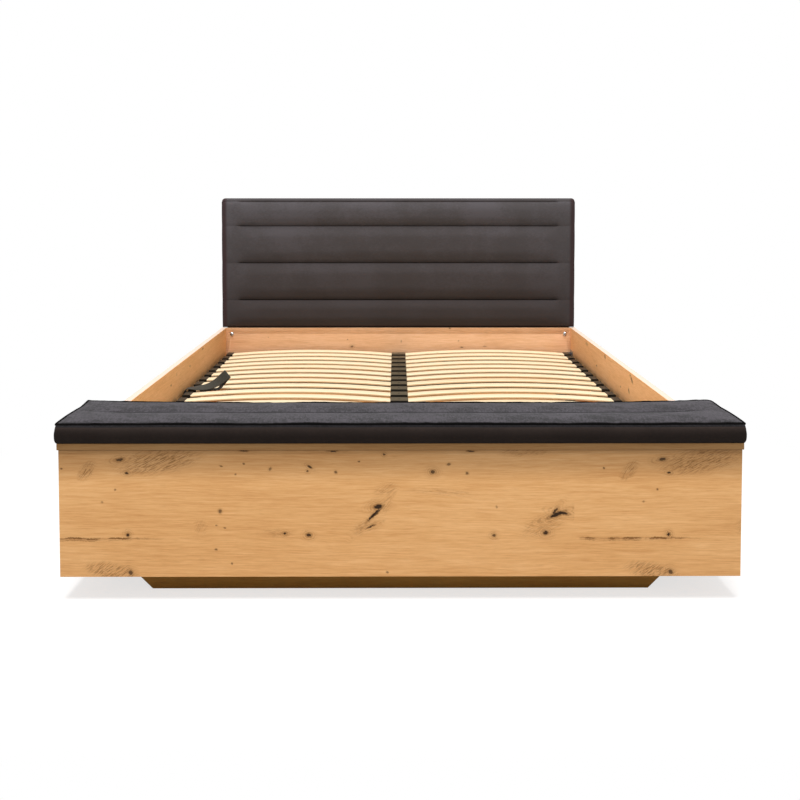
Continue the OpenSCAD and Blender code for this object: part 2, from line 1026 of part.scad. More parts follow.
// Widths at which the surface is sampled: every lane gets the same number of steps
function lane_edges(width, channels) = concat([0], channels, [width]);
function lane_samples(edges) = concat([for (k = [0 : len(edges) - 2])
    for (j = [0 : lane_steps - 1])
        edges[k] + (edges[k + 1] - edges[k]) * (0.5 + 0.5 * eased(j, lane_steps))],
    [edges[len(edges) - 1]]);

// How full a lane is at width v, 0 on its seams and 1 along its middle
function lane_fill(v, edges) = max([for (k = [0 : len(edges) - 2])
    let (s = (2 * v - edges[k] - edges[k + 1]) / (edges[k + 1] - edges[k]))
        abs(s) >= 1 ? 0 : pow(1 - pow(abs(s), 2.4), 0.8)]);

// How full the pad is at u, -1..1 along its length or its width
function end_fill(u) = pow(max(0, 1 - pow(abs(u), 16)), 0.7);

// How deep the channels are at u: they run out before the ends
function channel_depth(u) = 1 - pow(abs(u), 22);

// How full the pad is at one point of its face
function face_fill(u, v, width, edges) =
    end_fill(u) * end_fill(2 * v / width - 1)
    * (1 - channel_depth(u) * (1 - lane_fill(v, edges)));

// A surface point, drawn in towards the middle of each side
function pad_point(u, v, width, length, draw, z) =
    let (t = 2 * v / width - 1)
        [u * (length / 2 - draw * (1 - t * t)),
         width / 2 + t * (width / 2 - draw * (1 - pow(u, 8))), z];

// bulge: how far the band stands out at the ends, along the low side and the high side
module quilted_pad(length, width, band, puff, bulge, draw, channels) {
    edges = lane_edges(width, channels);
    vs = lane_samples(edges);
    rows = len(vs);
    cols = pad_cols + 1;
    us = [for (i = [0 : pad_cols]) eased(i, pad_cols)];
    surface = [for (v = vs) for (u = us)
        pad_point(u, v, width, length, draw, band + puff * face_fill(u, v, width, edges))];
    // Indices of the rim, once round, seen from above against the clock
    rim = concat([for (i = [0 : cols - 1]) i],
                 [for (j = [1 : rows - 1]) j * cols + cols - 1],
                 [for (i = [cols - 2 : -1 : 0]) (rows - 1) * cols + i],
                 [for (j = [rows - 2 : -1 : 1]) j * cols]);
    n = len(rim);
    // Rings of the side band from the piping down to the back
    band_rings = [for (s = [1 : band_steps]) for (k = rim)
        let (p = surface[k], swell = sin(180 * s / (band_steps + 0.5)),
             sx = p.x / (length / 2), sy = p.y / (width / 2) - 1)
            [p.x + bulge[0] * swell * pow(abs(sx), 30) * sign(sx),
             p.y + bulge[sy < 0 ? 1 : 2] * swell * pow(abs(sy), 12) * sign(sy),
             band * (1 - s / band_steps)]];
    base = rows * cols;
    function ring(s, k) = s == 0 ? rim[k % n] : base + (s - 1) * n + k % n;
    faces = concat(
        [for (j = [0 : rows - 2]) for (i = [0 : cols - 2]) each
            [[j * cols + i, (j + 1) * cols + i + 1, j * cols + i + 1],
             [j * cols + i, (j + 1) * cols + i, (j + 1) * cols + i + 1]]],
        [for (s = [0 : band_steps - 1]) for (k = [0 : n - 1]) each
            [[ring(s, k), ring(s, k + 1), ring(s + 1, k + 1)],
             [ring(s, k), ring(s + 1, k + 1), ring(s + 1, k)]]],
        [[for (k = [0 : n - 1]) ring(band_steps, k)]]);
    polyhedron(concat(surface, band_rings), faces, convexity = 6);
}

// Seat cushion on the lid: two lanes with one channel between them
module lid_cushion() {
    cushion_d = cushion_y1 - cushion_y0;
    color(seat_cloth)
        translate([0, cushion_y0, lid_z])
            quilted_pad(bed_w + 2 * lid_over, cushion_d, cushion_h, cushion_crown,
                        [cushion_bulge, cushion_bulge, rear_bulge], cushion_draw,
                        [cushion_d / 2]);
}

// Headboard padding: lanes above each other, counted down from the topmost piping
module headboard_pad() {
    channels = [for (k = [lane_count - 2 : -1 : 0]) pad_h - first_lane - k * lane_pitch];
    color(dark_cloth)
        translate([0, head_y + pad_t, pad_z])
            rotate([90, 0, 0])
                quilted_pad(headboard_w - 2 * side_band, pad_h, pad_t - lane_puff, lane_puff,
                            [side_band, 0, top_band], 1, channels);
}

// ---------------------------------------------------------------- pull strap

// The strap leaves the left tube between two rows of caps. Each entry holds a point on
// the middle of the webbing, from the outer top edge of the tube, and the direction
// across the webbing.
strap_row = floor(slat_rows / 2) - 1;
strap_y = row_y(strap_row) + row_pitch / 2;
strap_path = [
    [[-1.3, 0, -24], [0, -1, 0]],
    [[-1.3, 0, -10], [0, -1, 0]],
    [[-6, 0, 2], [0, -1, 0]],
    [[-7, 0, 12], [0, -1, 0]],
    [[-2, 0, 21], [0, -1, 0]],
    [[8, 0, 25.5], [0, -1, 0]],
    [[24, 0, 26], [0.1, -1, -0.1]],
    [[44, 0, 27], [0.1, -0.94, -0.3]],
    [[64, 0, 29], [0.17, -0.9, -0.38]],
    [[82, 0, 33], [0.28, -0.83, -0.47]],
    [[99, 0, 40], [0.36, -0.76, -0.54]],
    [[116, 0, 50], [0.45, -0.61, -0.65]],
    [[133, 0, 63], [0.54, -0.46, -0.7]],
    [[149, 0, 77], [0.64, -0.38, -0.66]],
    [[152.5, 2.5, 79.5], [0.64, -0.38, -0.66]],
    [[153, 6, 78.5], [0.64, -0.38, -0.66]],
    [[150, 9, 74.5], [0.64, -0.4, -0.66]],
    [[140, 9, 61], [0.55, -0.55, -0.63]],
    [[131.5, 8, 43.5], [0.4, -0.78, -0.48]],
    [[125, 6, 29], [0.15, -0.95, -0.25]],
    [[113, 5, 22], [0, -1, -0.05]],
    [[100, 5, 21], [0, -1, 0]],
    [[86, 4, 21.5], [0.05, -0.97, -0.12]],
    [[66, 2, 23], [0.12, -0.92, -0.3]],
    [[50, 1, 22.6], [0.08, -0.95, -0.25]]
];

function unit(v) = v / norm(v);

// Four corners of the webbing's cross-section at point i of the path
function strap_ring(i) =
    let (n = len(strap_path) - 1,
         along = unit(strap_path[min(i + 1, n)][0] - strap_path[max(i - 1, 0)][0]),
         across = unit(strap_path[i][1]),
         up = unit(cross(along, across)),
         flat = unit(cross(up, along)),
         p = [-base_x, strap_y, base_z] + strap_path[i][0])
        [for (c = [[-1, -1], [1, -1], [1, 1], [-1, 1]])
            p + flat * c[0] * strap_w / 2 + up * c[1] * strap_t / 2];

// The two broad faces are split along the same diagonals, so the twisted webbing keeps
// its thickness
module pull_strap() {
    n = len(strap_path);
    points = [for (i = [0 : n - 1]) each strap_ring(i)];
    sides = [for (i = [0 : n - 2]) for (c = [0 : 3]) each
        let (a = 4 * i + c, b = 4 * i + (c + 1) % 4)
            c == 2 ? [[a, b, a + 4], [b, b + 4, a + 4]] : [[a, b, b + 4], [a, b + 4, a + 4]]];
    color(webbing)
        polyhedron(points, concat(sides, [[3, 2, 1, 0]],
            [[4 * n - 4, 4 * n - 3, 4 * n - 2, 4 * n - 1]]), convexity = 8);
}

chest_front();
chest_side(-1);  // chest_side_left
chest_side(1);  // chest_side_right
chest_back();
chest_bottom();
side_rail(-1);  // side_rail_left
side_rail(1);  // side_rail_right
head_panel();
headboard_back();
headboard_pad();
headboard_posts();
headboard_bolts();
headboard_nuts();
plinth_front();
plinth_rear();
plinth_side(-1);  // plinth_left
plinth_side(1);  // plinth_right
plinth_centre();
box_floor(-1);  // box_floor_left
box_floor(1);  // box_floor_right
ledge_left();
ledge_head();
ledge_foot();
corner_brackets();
corner_screws();
base_pivot_brackets();
base_strut_anchors();
lid_hinge_fixed_leaves();
lid_hinge_pins();
lid_strut_anchors();
lid_board();
lid_cushion();
lid_hinge_moving_leaves();
lid_strut_lugs();
base_tube_side(-1);  // base_tube_left
base_tube_side(1);  // base_tube_right
base_tube_centre();
base_tube_foot();
base_tube_head();
base_cross_bars();
tube_plugs();
base_pivot_arms();
base_strut_lugs();
slat_field(-1);  // slats_left
slat_field(1);  // slats_right
side_caps(-1);  // side_caps_left
side_caps(1);  // side_caps_right
centre_caps();
cap_screws();
pull_strap();
base_cylinder(0);  // base_cylinder_foot
base_rod(0);  // base_rod_foot
base_cylinder(1);  // base_cylinder_head
base_rod(1);  // base_rod_head
lid_cylinder(-1);  // lid_cylinder_left
lid_rod(-1);  // lid_rod_left
lid_cylinder(1);  // lid_cylinder_right
lid_rod(1);  // lid_rod_right
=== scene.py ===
"""Finishes and soft goods of a double bed with a padded blanket chest as its footboard.

Everything is in metres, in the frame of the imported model: +Z up, +Y towards the headboard.
"""

import json
import math

import bpy
from bpy.props import FloatProperty, FloatVectorProperty, IntProperty, PointerProperty
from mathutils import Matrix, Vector, noise


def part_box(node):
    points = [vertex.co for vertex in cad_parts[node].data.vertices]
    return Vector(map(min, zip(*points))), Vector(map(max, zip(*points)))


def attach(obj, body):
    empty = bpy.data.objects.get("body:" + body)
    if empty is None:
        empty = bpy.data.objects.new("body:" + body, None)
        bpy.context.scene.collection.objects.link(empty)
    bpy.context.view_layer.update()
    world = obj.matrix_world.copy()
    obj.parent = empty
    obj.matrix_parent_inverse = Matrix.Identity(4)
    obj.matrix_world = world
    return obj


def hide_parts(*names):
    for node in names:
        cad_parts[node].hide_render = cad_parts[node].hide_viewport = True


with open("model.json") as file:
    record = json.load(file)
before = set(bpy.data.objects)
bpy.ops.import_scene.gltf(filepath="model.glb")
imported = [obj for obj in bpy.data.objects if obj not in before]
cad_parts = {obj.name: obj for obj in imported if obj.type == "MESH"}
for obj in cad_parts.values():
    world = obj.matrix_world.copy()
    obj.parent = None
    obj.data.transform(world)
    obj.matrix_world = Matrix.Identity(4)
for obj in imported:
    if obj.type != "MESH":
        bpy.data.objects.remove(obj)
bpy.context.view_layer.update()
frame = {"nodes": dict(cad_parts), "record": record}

bl_info = {
    "name": "Blanket chest bed",
    "version": (1, 0, 0),
    "blender": (4, 5, 0),
    "location": "3D View > Sidebar > Bed",
    "description": "Oak decor, beech slats, quilted headboard and chest cushion of a double bed",
    "category": "Add Mesh",
}


# ------------------------------------------------------------------ settings


def Number(name, description, default, subtype="NONE"):
    return FloatProperty(name=name, description=description, subtype=subtype, default=default)


def Length(name, description, metres):
    return Number(name, description, metres, "DISTANCE")


def Angle(name, description, degrees):
    return Number(name, description, math.radians(degrees), "ANGLE")


def Colour(name, description, *screen):
    """A colour, given as it looks on screen, 0 to 255, and kept as a shader's linear values."""
    shares = [value / 255 for value in screen]
    linear = tuple(s / 12.92 if s <= 0.04045 else ((s + 0.055) / 1.055) ** 2.4 for s in shares)
    return FloatVectorProperty(
        name=name, description=description, subtype="COLOR", min=0, max=1, default=linear
    )


class BedWoodSettings(bpy.types.PropertyGroup):
    oak_light: Colour("Light oak", "Palest streaks of the oak decor", 232, 182, 126)
    oak_middle: Colour("Oak", "Main tone of the oak decor", 217, 164, 106)
    oak_dark: Colour("Dark oak", "Darker streaks of the oak decor", 198, 142, 86)
    knot: Colour("Knots", "Core of the knots", 32, 18, 8)
    figure: Colour("Figure", "Browner ground and pores round the knots", 172, 124, 74)
    figure_line: Colour("Figure lines", "Growth lines and cracks", 116, 76, 36)
    # Paler colour of upward faces: partly edge banding, partly painted top light
    banding: Colour("Edge banding", "Pale band on the upper edges", 216, 199, 188)
    beech: Colour("Beech", "Face of the slats", 228, 209, 174)
    beech_edge: Colour("Glue lines", "Darker plies and pores of the slats", 208, 176, 128)
    board_edge: Length("Board edge", "Radius of the edge banding", 0.0010)
    slat_edge: Length("Slat edge", "Radius of the slats' rounded edges", 0.0022)
    slat_steps: IntProperty(
        name="Slat steps", description="Steps along one crowned slat", default=30, min=8
    )


class BedHeadboardSettings(bpy.types.PropertyGroup):
    cloth: Colour("Cover", "Microfibre of the headboard", 87, 83, 86)
    cloth_dark: Colour("Nap", "Microfibre where the nap lies the other way", 77, 73, 74)
    # The foot colour is painted shade and warm light off the wood towards the bed; the band is
    # painted shade on the rounded sides
    foot: Colour("Foot", "Warmer cloth towards the bed", 59, 52, 51)
    band: Colour("Band", "Reddish band along the sides", 54, 34, 34)
    # The seam colour is the thread and painted shade in the folds and along the pad's foot
    seam: Colour("Seam", "Thread and fold of the sewn channels", 22, 15, 14)
    lining: Colour("Lining", "Cloth on the back of the headboard", 30, 28, 28)
    puff: Length("Puff", "How far a lane stands out of its channels", 0.012)
    side_band: Length("Side band", "How far the side band bulges out", 0.003)
    proud: Length("Proud", "How far the cover stands over the sides of the pad", 0.0055)
    top_band: Length("Top band", "Height of the curved band over the top seam", 0.015)
    first_lane: Length("First lane", "Height of the topmost lane", 0.113)
    lane_pitch: Length("Lane pitch", "Spacing of the sewn channels", 0.1735)
    corner: Length("Corner", "Radius of the upper corners", 0.014)
    channel_end: Length("Channel end", "Where the deep channel stops, from the side", 0.094)
    pressure: Number("Pressure", "Filling pressure of the cover", 3.0)
    give: Length("Give", "Furthest that the cover may move under pressure", 0.003)


class BedCushionSettings(bpy.types.PropertyGroup):
    top: Colour("Top", "Fuzzy cover of the seat", 67, 63, 68)
    top_dark: Colour("Pile shadow", "Gaps in the pile", 34, 32, 34)
    boxing: Colour("Boxing", "Side band of the cushion", 38, 31, 28)
    piping: Colour("Piping", "Cord sewn into the top edge", 14, 12, 12)
    crown: Length("Crown", "Rise of each lane over the piping", 0.0045)
    bulge: Length("Bulge", "How far the boxing swells at the sides", 0.0045)
    front_bulge: Length("Front bulge", "How far the boxing swells at the front", 0.011)
    inset: Length("Inset", "How far the front corners lie inside the cushion's box", 0.0065)
    sag: Length("Sag", "How far the rear edge sinks between the corners", 0.0060)
    corner: Length("Corner", "Radius of the rear right corner", 0.020)
    draw: Length("Draw", "How far the edges draw in between the corners", 0.006)
    piping_radius: Length("Piping radius", "Radius of the piping", 0.0030)
    pressure: Number("Pressure", "Filling pressure of the cover", 3.0)
    give: Length("Give", "Furthest that the cover may move under pressure", 0.004)


class BedFittingSettings(bpy.types.PropertyGroup):
    powder: Colour("Powder coat", "Coat of the steel frame", 28, 28, 30)
    zinc: Colour("Zinc", "Plated screws, hinges and rods", 190, 192, 196)
    plastic: Colour("Caps", "Moulded slat holders", 30, 27, 22)
    # Lighter upper side of the caps: partly scuffs, partly painted top light
    dust_and_top_light: Colour("Cap tops", "Scuffed upper side of the slat holders", 80, 70, 52)
    webbing: Colour("Webbing", "Pull strap", 64, 61, 51)
    webbing_dark: Colour("Webbing ribs", "Shadow between the ribs", 34, 32, 27)


class BedStageSettings(bpy.types.PropertyGroup):
    floor: Colour("Floor", "Studio floor", 250, 250, 250)
    key: Number("Key light", "Strength of the key light", 3.8)
    key_rise: Angle("Key height", "How steeply the key light falls", 77)
    key_aside: Angle("Key side", "How far left of the camera the key light is", 8)
    key_soft: Angle("Key softness", "How wide the key light is seen from the bed", 24)
    sky: Number("Sky", "Even light from all round", 0.48)
    bounce: Number("Bounce", "Grey that the floor has for the bed", 0.58)


# ------------------------------------------------------------------ modelling helpers

# Cuts of a cover close to its seams and ends, the next one at its ends, and those between
NEAR_CUTS = (0.0015, 0.004, 0.008, 0.014, 0.022)
END_CUT = 0.032
CUT_PITCH = 0.011
COLUMNS = 150
COVER_ANGLE = 60
CLOTH_FRAMES = 20


def mode(name):
    bpy.ops.object.mode_set(mode=name)


def only(obj):
    """Select one object and make it active."""
    bpy.ops.object.select_all(action="DESELECT")
    obj.select_set(True)
    bpy.context.view_layer.objects.active = obj


def add_object(name, data):
    """A new object in the scene."""
    obj = bpy.data.objects.new(name, data)
    bpy.context.scene.collection.objects.link(obj)
    return obj


def block(name, low, high):
    """A box between two corners, its place in its mesh."""
    bpy.ops.object.select_all(action="DESELECT")
    low, high = Vector(low), Vector(high)
    bpy.ops.mesh.primitive_cube_add(size=1, location=(low + high) / 2, scale=high - low)
    bpy.ops.object.transform_apply(location=True, rotation=True, scale=True)
    obj = bpy.context.active_object
    obj.name = obj.data.name = name
    return obj


def finish_with(obj, kind, **settings):
    """Add a modifier and apply it."""
    only(obj)
    modifier = obj.modifiers.new(kind.lower(), kind)
    for key, value in settings.items():
        setattr(modifier, key, value)
    bpy.ops.object.modifier_apply(modifier=modifier.name)


def ease_edges(obj, width, segments=2, angle=35):
    finish_with(obj, "BEVEL", width=width, segments=segments, limit_method="ANGLE",
                angle_limit=math.radians(angle))


def smooth(obj, angle=35):
    only(obj)
    bpy.ops.object.shade_smooth_by_angle(angle=math.radians(angle))


def paint(obj, *materials):
    obj.data.materials.clear()
    for material in materials:
        obj.data.materials.append(material)


def cut_along(obj, axis, cuts):
    """Subdivide every edge that runs along one axis."""
    only(obj)
    mode("EDIT")
    bpy.ops.mesh.select_mode(type="EDGE")
    bpy.ops.mesh.select_all(action="DESELECT")
    mode("OBJECT")
    for edge in obj.data.edges:
        start, end = (obj.data.vertices[i].co for i in edge.vertices)
        run = end - start
        edge.select = abs(run[axis]) > 0.99 * run.length
    mode("EDIT")
    bpy.ops.mesh.subdivide(number_cuts=cuts)
    mode("OBJECT")


def slice_at(obj, axis, places):
    """Cut the whole mesh square to one axis at each of the places."""
    only(obj)
    normal = [float(i == axis) for i in range(3)]
    mode("EDIT")
    for place in places:
        bpy.ops.mesh.select_all(action="SELECT")
        bpy.ops.mesh.bisect(plane_co=[place * n for n in normal], plane_no=normal)
    mode("OBJECT")


def cuts_between(low, high):
    """Even cuts from one place to another, without the two."""
    steps = max(2, round((high - low) / CUT_PITCH))
    return [low + (high - low) * k / steps for k in range(1, steps)]


def slice_length(cover, half):
    """Cut a cover across its length: close together at its ends, evenly between them."""
    ends = NEAR_CUTS + (END_CUT,)
    slice_at(cover, 0, [side * (half - end) for side in (-1, 1) for end in ends])
    reach = half - END_CUT
    slice_at(cover, 0, [-reach + 2 * reach * k / COLUMNS for k in range(1, COLUMNS)])


def copy_of_node(node, name):
    """A clean, joined copy of a CAD node's mesh, to be finished."""
    obj = add_object(name, frame["nodes"][node].data.copy())
    obj.data.name = name
    only(obj)
    mode("EDIT")
    bpy.ops.mesh.select_all(action="SELECT")
    bpy.ops.mesh.remove_doubles(threshold=0.00001)
    bpy.ops.mesh.dissolve_limited(angle_limit=math.radians(0.5))
    mode("OBJECT")
    return obj


def join(pieces, name):
    """Several objects as one piece."""
    only(pieces[0])
    for piece in pieces:
        piece.select_set(True)
    bpy.ops.object.join()
    pieces[0].name = pieces[0].data.name = name
    return pieces[0]


def inflate(obj, held, pressure, give):
    """Blow a cover up with a cloth simulation and keep the shape that it takes."""
    start = [vertex.co.copy() for vertex in obj.data.vertices]
    only(obj)
    obj.vertex_groups.new(name="held").add(held, 1.0, "REPLACE")
    cloth = obj.modifiers.new("cover", "CLOTH")
    settings = {
        "quality": 5, "mass": 0.3, "tension_stiffness": 15, "compression_stiffness": 15,
        "shear_stiffness": 5, "bending_stiffness": 0.5, "vertex_group_mass": "held",
        "use_pressure": True, "uniform_pressure_force": pressure,
    }
    for key, value in settings.items():
        setattr(cloth.settings, key, value)
    cloth.settings.effector_weights.gravity = 0
    cloth.collision_settings.use_collision = False
    cloth.point_cache.frame_end = CLOTH_FRAMES
    for step in range(1, CLOTH_FRAMES + 1):
        bpy.context.scene.frame_set(step)
    bpy.ops.object.modifier_apply(modifier=cloth.name)
    bpy.context.scene.frame_set(1)
    for vertex, place in zip(obj.data.vertices, start):
        move = vertex.co - place
        if move.length > give:
            vertex.co = place + move * (give / move.length)
    obj.vertex_groups.clear()


def plump(cover, held, settings):
    """Fill a cover and round its faces."""
    inflate(cover, held, settings.pressure, settings.give)
    finish_with(cover, "SUBSURF", levels=1, render_levels=1)
    smooth(cover, COVER_ANGLE)


def wander(place, scale, seed):
    """Smooth waviness, -1 to 1, along a line."""
    return noise.noise(Vector((place * scale, seed, 0.37 * seed)))


def smoothstep(low, high, value):
    share = min(1.0, max(0.0, (value - low) / (high - low)))
    return share * share * (3 - 2 * share)


# ------------------------------------------------------------------ material helpers


class Value:
    """A number that a shader works out at each point; sums and products of it are nodes too."""

    def __init__(self, nodes, socket):
        self.nodes = nodes
        self.socket = socket

    def __add__(self, other):
        return self.nodes.math("ADD", self, other)

    def __sub__(self, other):
        return self.nodes.math("SUBTRACT", self, other)

    def __mul__(self, other):
        return self.nodes.math("MULTIPLY", self, other)

    def __truediv__(self, other):
        return self.nodes.math("DIVIDE", self, other)

    def __abs__(self):
        return self.nodes.math("ABSOLUTE", self)

    def fade(self, low, high, to_low=0.0, to_high=1.0, kind="SMOOTHSTEP"):
        """From to_low where the value is low to to_high where it is high, and no further."""
        node = self.nodes.add("MapRange", {
            "Value": self, "From Min": low, "From Max": high, "To Min": to_low, "To Max": to_high,
        }, interpolation_type=kind)
        return Value(self.nodes, node.outputs[0])


class Nodes:
    """Nodes under construction."""

    def __init__(self, tree):
        self.tree = tree

    def put(self, socket, value):
        """Link a result to a socket, or set the socket to a plain value."""
        if isinstance(value, Value):
            value = value.socket
        if isinstance(value, bpy.types.NodeSocket):
            self.tree.links.new(value, socket)
        elif socket.type == "RGBA":
            socket.default_value = (*value, 1)
        else:
            socket.default_value = value

    def add(self, kind, inputs, **settings):
        node = self.tree.nodes.new("ShaderNode" + kind)
        for key, value in settings.items():
            setattr(node, key, value)
        for key, value in inputs.items():
            self.put(node.inputs[key], value)
        return node

    def math(self, operation, *terms):
        node = self.add("Math", dict(enumerate(terms)), operation=operation)
        return Value(self, node.outputs[0])

    def larger(self, first, second):
        return self.math("MAXIMUM", first, second)

    def place(self, kind="Object"):
        """Where a point lies in the bed's frame, or on its UV map."""
        return self.add("TexCoord", {}).outputs[kind]

    def split(self, vector):
        return [Value(self, socket) for socket in self.add("SeparateXYZ", {0: vector}).outputs]

    def gather(self, x, y, z):
        return self.add("CombineXYZ", {0: x, 1: y, 2: z}).outputs[0]

    def distance(self, *sides):
        length = self.add("VectorMath", {0: self.gather(*sides)}, operation="LENGTH")
        return Value(self, length.outputs["Value"])

    def upright(self):
        """How far a face looks up: 1 on a level top, -1 underneath."""
        return self.split(self.add("NewGeometry", {}).outputs["Normal"])[2]

    def stretch(self, vector, scale, turn=(0, 0, 0), kind="POINT"):
        return self.add(
            "Mapping", {"Vector": vector, "Scale": scale, "Rotation": turn}, vector_type=kind
        ).outputs[0]

    def noise(self, vector, scale, detail=3, roughness=0.5, distortion=0.0):
        """Cloudy noise; three scales stretch it along the axes."""
        if isinstance(scale, tuple):
            vector, scale = self.stretch(vector, scale), 1.0
        node = self.add("TexNoise", {
            "Vector": vector, "Scale": scale, "Detail": detail, "Roughness": roughness,
            "Distortion": distortion,
        })
        return Value(self, node.outputs["Fac"])

    def wave(self, vector, scale, distortion, detail, direction):
        node = self.add(
            "TexWave",
            {"Vector": vector, "Scale": scale, "Distortion": distortion, "Detail": detail},
            bands_direction=direction,
        )
        return Value(self, node.outputs["Fac"])

    def ramp(self, value, *stops):
        """A colour ramp through (place, colour) stops."""
        node = self.add("ValToRGB", {"Fac": value})
        elements = node.color_ramp.elements
        while len(elements) < len(stops):
            elements.new(0.5)
        for element, (place, colour) in zip(elements, stops):
            element.position = place
            element.color = (*colour, 1)
        return node.outputs["Color"]

    def mix(self, share, first, second, kind="MIX"):
        node = self.add("Mix", {0: share, 6: first, 7: second}, data_type="RGBA", blend_type=kind)
        return node.outputs[2]

    def times(self, colour, factor):
        """A colour times another one or times a number."""
        if isinstance(factor, Value):
            factor = self.gather(factor, factor, factor)
        return self.mix(1.0, colour, factor, "MULTIPLY")

    def bump(self, height, distance, strength):
        inputs = {"Height": height, "Distance": distance, "Strength": strength}
        return self.add("Bump", inputs).outputs[0]


class Group(Nodes):
    """A node group under construction, with the numbers given to it and its results."""

    def __init__(self, name, given, results):
        super().__init__(bpy.data.node_groups.new(name, "ShaderNodeTree"))
        face = self.tree.interface
        for key in given:
            face.new_socket(name=key, in_out="INPUT", socket_type="NodeSocketFloat")
        for key, kind in results.items():
            face.new_socket(name=key, in_out="OUTPUT", socket_type="NodeSocket" + kind)
        inputs = self.tree.nodes.new("NodeGroupInput").outputs
        self.given = [Value(self, inputs[key]) for key in given]
        self.results = self.tree.nodes.new("NodeGroupOutput").inputs


class Finish(Nodes):
    """A material under construction."""

    def __init__(self, name):
        self.material = bpy.data.materials.new(name)
        self.material.use_nodes = True
        super().__init__(self.material.node_tree)
        self.tree.nodes.clear()
        self.shader = self.add("BsdfPrincipled", {})
        output = self.add("OutputMaterial", {"Surface": self.shader.outputs["BSDF"]})
        self.surface = output.inputs["Surface"]

    def shade(self, colour, roughness, normal=None, specular=0.5, sheen=0.0, metallic=0.0):
        """Wire the shader; the plain numbers go straight onto its sockets."""
        sockets = self.shader.inputs
        self.put(sockets["Base Color"], colour)
        self.put(sockets["Roughness"], roughness)
        if normal is not None:
            self.put(sockets["Normal"], normal)
        sockets["Specular IOR Level"].default_value = specular
        sockets["Sheen Weight"].default_value = sheen
        sockets["Metallic"].default_value = metallic
        return self.material


def scaled(colour, share):
    return tuple(min(1.0, part * share) for part in colour)


# ------------------------------------------------------------------ oak decor

# Knots, in millimetres along the grain and over the floor:
# along, height, half length, half height, lean in degrees, darkness
FRONT_KNOTS = [
    (-681, 349, 11, 4.5, 10, 0.75), (-665, 316, 5, 3.2, 0, 0.85), (-823, 327, 2.8, 2.4, 0, 0.60),
    (-693, 275, 2.6, 3, 0, 0.55), (-726, 245, 3.4, 3, 0, 0.35), (-381, 370, 11, 1.7, 0, 0.85),
    (-381, 339, 2.6, 2.8, 0, 0.60), (-436, 333, 4.2, 2.2, -20, 0.55), (-401, 313, 3, 2.4, 0, 0.55),
    (-317, 326, 4, 5.5, -30, 0.50), (-439, 222, 5.2, 6.2, 0, 0.62), (-448, 187, 3, 2, 0, 0.55),
    (-428, 181, 3, 2, -15, 0.60), (-664, 164, 4.6, 5, 0, 0.90), (-282, 167, 3.8, 3.4, 0, 0.90),
    (-450, 128, 3.4, 2.6, 0, 0.60), (-411, 93, 2.8, 2.8, 0, 0.55), (-658, 71, 6, 7.5, 30, 0.70),
    (-164, 369, 9.5, 1.7, 0, 0.95), (171, 369, 9.5, 1.7, 0, 0.95), (-221, 331, 6.8, 3, -35, 0.85),
    (-226, 320, 2.6, 2.4, 0, 0.80), (-158, 318, 4, 4.8, 20, 0.60), (-101, 344, 2.6, 2.4, 0, 0.65),
    (-40, 361, 3, 2.6, 0, 0.70), (78, 318, 7, 5.6, 0, 0.75), (116, 337, 6, 3, 15, 0.55),
    (161, 315, 4.4, 4.2, 0, 0.60), (-55, 233, 12.5, 7, 10, 0.95), (-66, 213, 25, 3.4, 48, 0.98),
    (-56, 219, 18, 2, 48, 0.80), (-73, 184, 12, 2, 25, 0.80), (-224, 163, 6.8, 5, 0, 0.85),
    (227, 162, 5, 4.2, 0, 0.70), (233, 232, 3, 4, 20, 0.35), (-33, 71, 3.2, 3, 0, 0.50),
    (380, 213, 23, 5.2, 22, 0.95), (394, 217, 16, 4.6, -12, 0.90), (376, 221, 12, 4, 55, 0.85),
    (353, 168, 7.2, 6.2, 0, 0.88),
]
# Along X on the head panel, along Y on the rails
HEAD_KNOTS = [
    (-218, 286, 6, 4.5, 20, 0.70), (-238, 319, 3, 2.2, 0, 0.45), (297, 282, 6, 2.2, 0, 0.75),
    (405, 286, 10, 3, 0, 0.35), (241, 371, 3, 2, 0, 0.70), (282, 312, 4, 4, 30, 0.30),
    (13, 310, 3, 7, 0, 0.30), (-610, 330, 3, 2.4, 0, 0.30),
]
RIGHT_KNOTS = [
    (327, 360, 12, 9, 35, 0.55), (489, 298, 11, 3.5, 0, 0.60), (-124, 350, 20, 7, 25, 0.60),
    (-100, 362, 8, 5, 0, 0.50), (-83, 304, 12, 6, 40, 0.65), (48, 294, 8, 4, 0, 0.35),
    (709, 356, 30, 8, 0, 0.25), (-520, 180, 8, 6, 10, 0.80), (820, 150, 6, 5, 0, 0.70),
]
LEFT_KNOTS = [
    (-54, 319, 8, 4, 0, 0.60), (277, 333, 9, 3.6, 0, 0.50), (538, 361, 20, 4, 0, 0.45),
    (39, 342, 5, 8, 0, 0.25), (-420, 210, 9, 6, 20, 0.80), (640, 130, 6, 5, 0, 0.70),
]
# Repeated along the boards that the photograph doesn't show
OTHER_KNOTS = [
    (-350, 240, 9, 6, 15, 0.80), (80, 320, 5, 4, 0, 0.60), (340, 130, 6, 5, 0, 0.70),
]
# Brushed figure in feather strokes: as a knot, with its strength for darkness and then the lean
# of its strokes
FRONT_FIGURE = [
    (-590, 345, 135, 42, 8, 1.00, 27), (-762, 322, 38, 20, 52, 0.90, 55),
    (-705, 74, 85, 28, -10, 0.95, 38), (300, 374, 85, 26, 0, 0.70, 18),
    (-36, 276, 40, 20, 12, 0.55, 30), (-82, 184, 55, 22, 20, 0.60, 30),
    (345, 184, 75, 34, 18, 0.50, 24), (-300, 168, 60, 14, 0, 0.50, 6),
    (-486, 182, 22, 26, 10, 0.30, 60), (100, 268, 110, 12, -4, 0.35, -8),
]
OTHER_FIGURE = [
    (-280, 230, 60, 22, 8, 0.50, 24), (150, 310, 70, 20, -4, 0.50, 16),
]
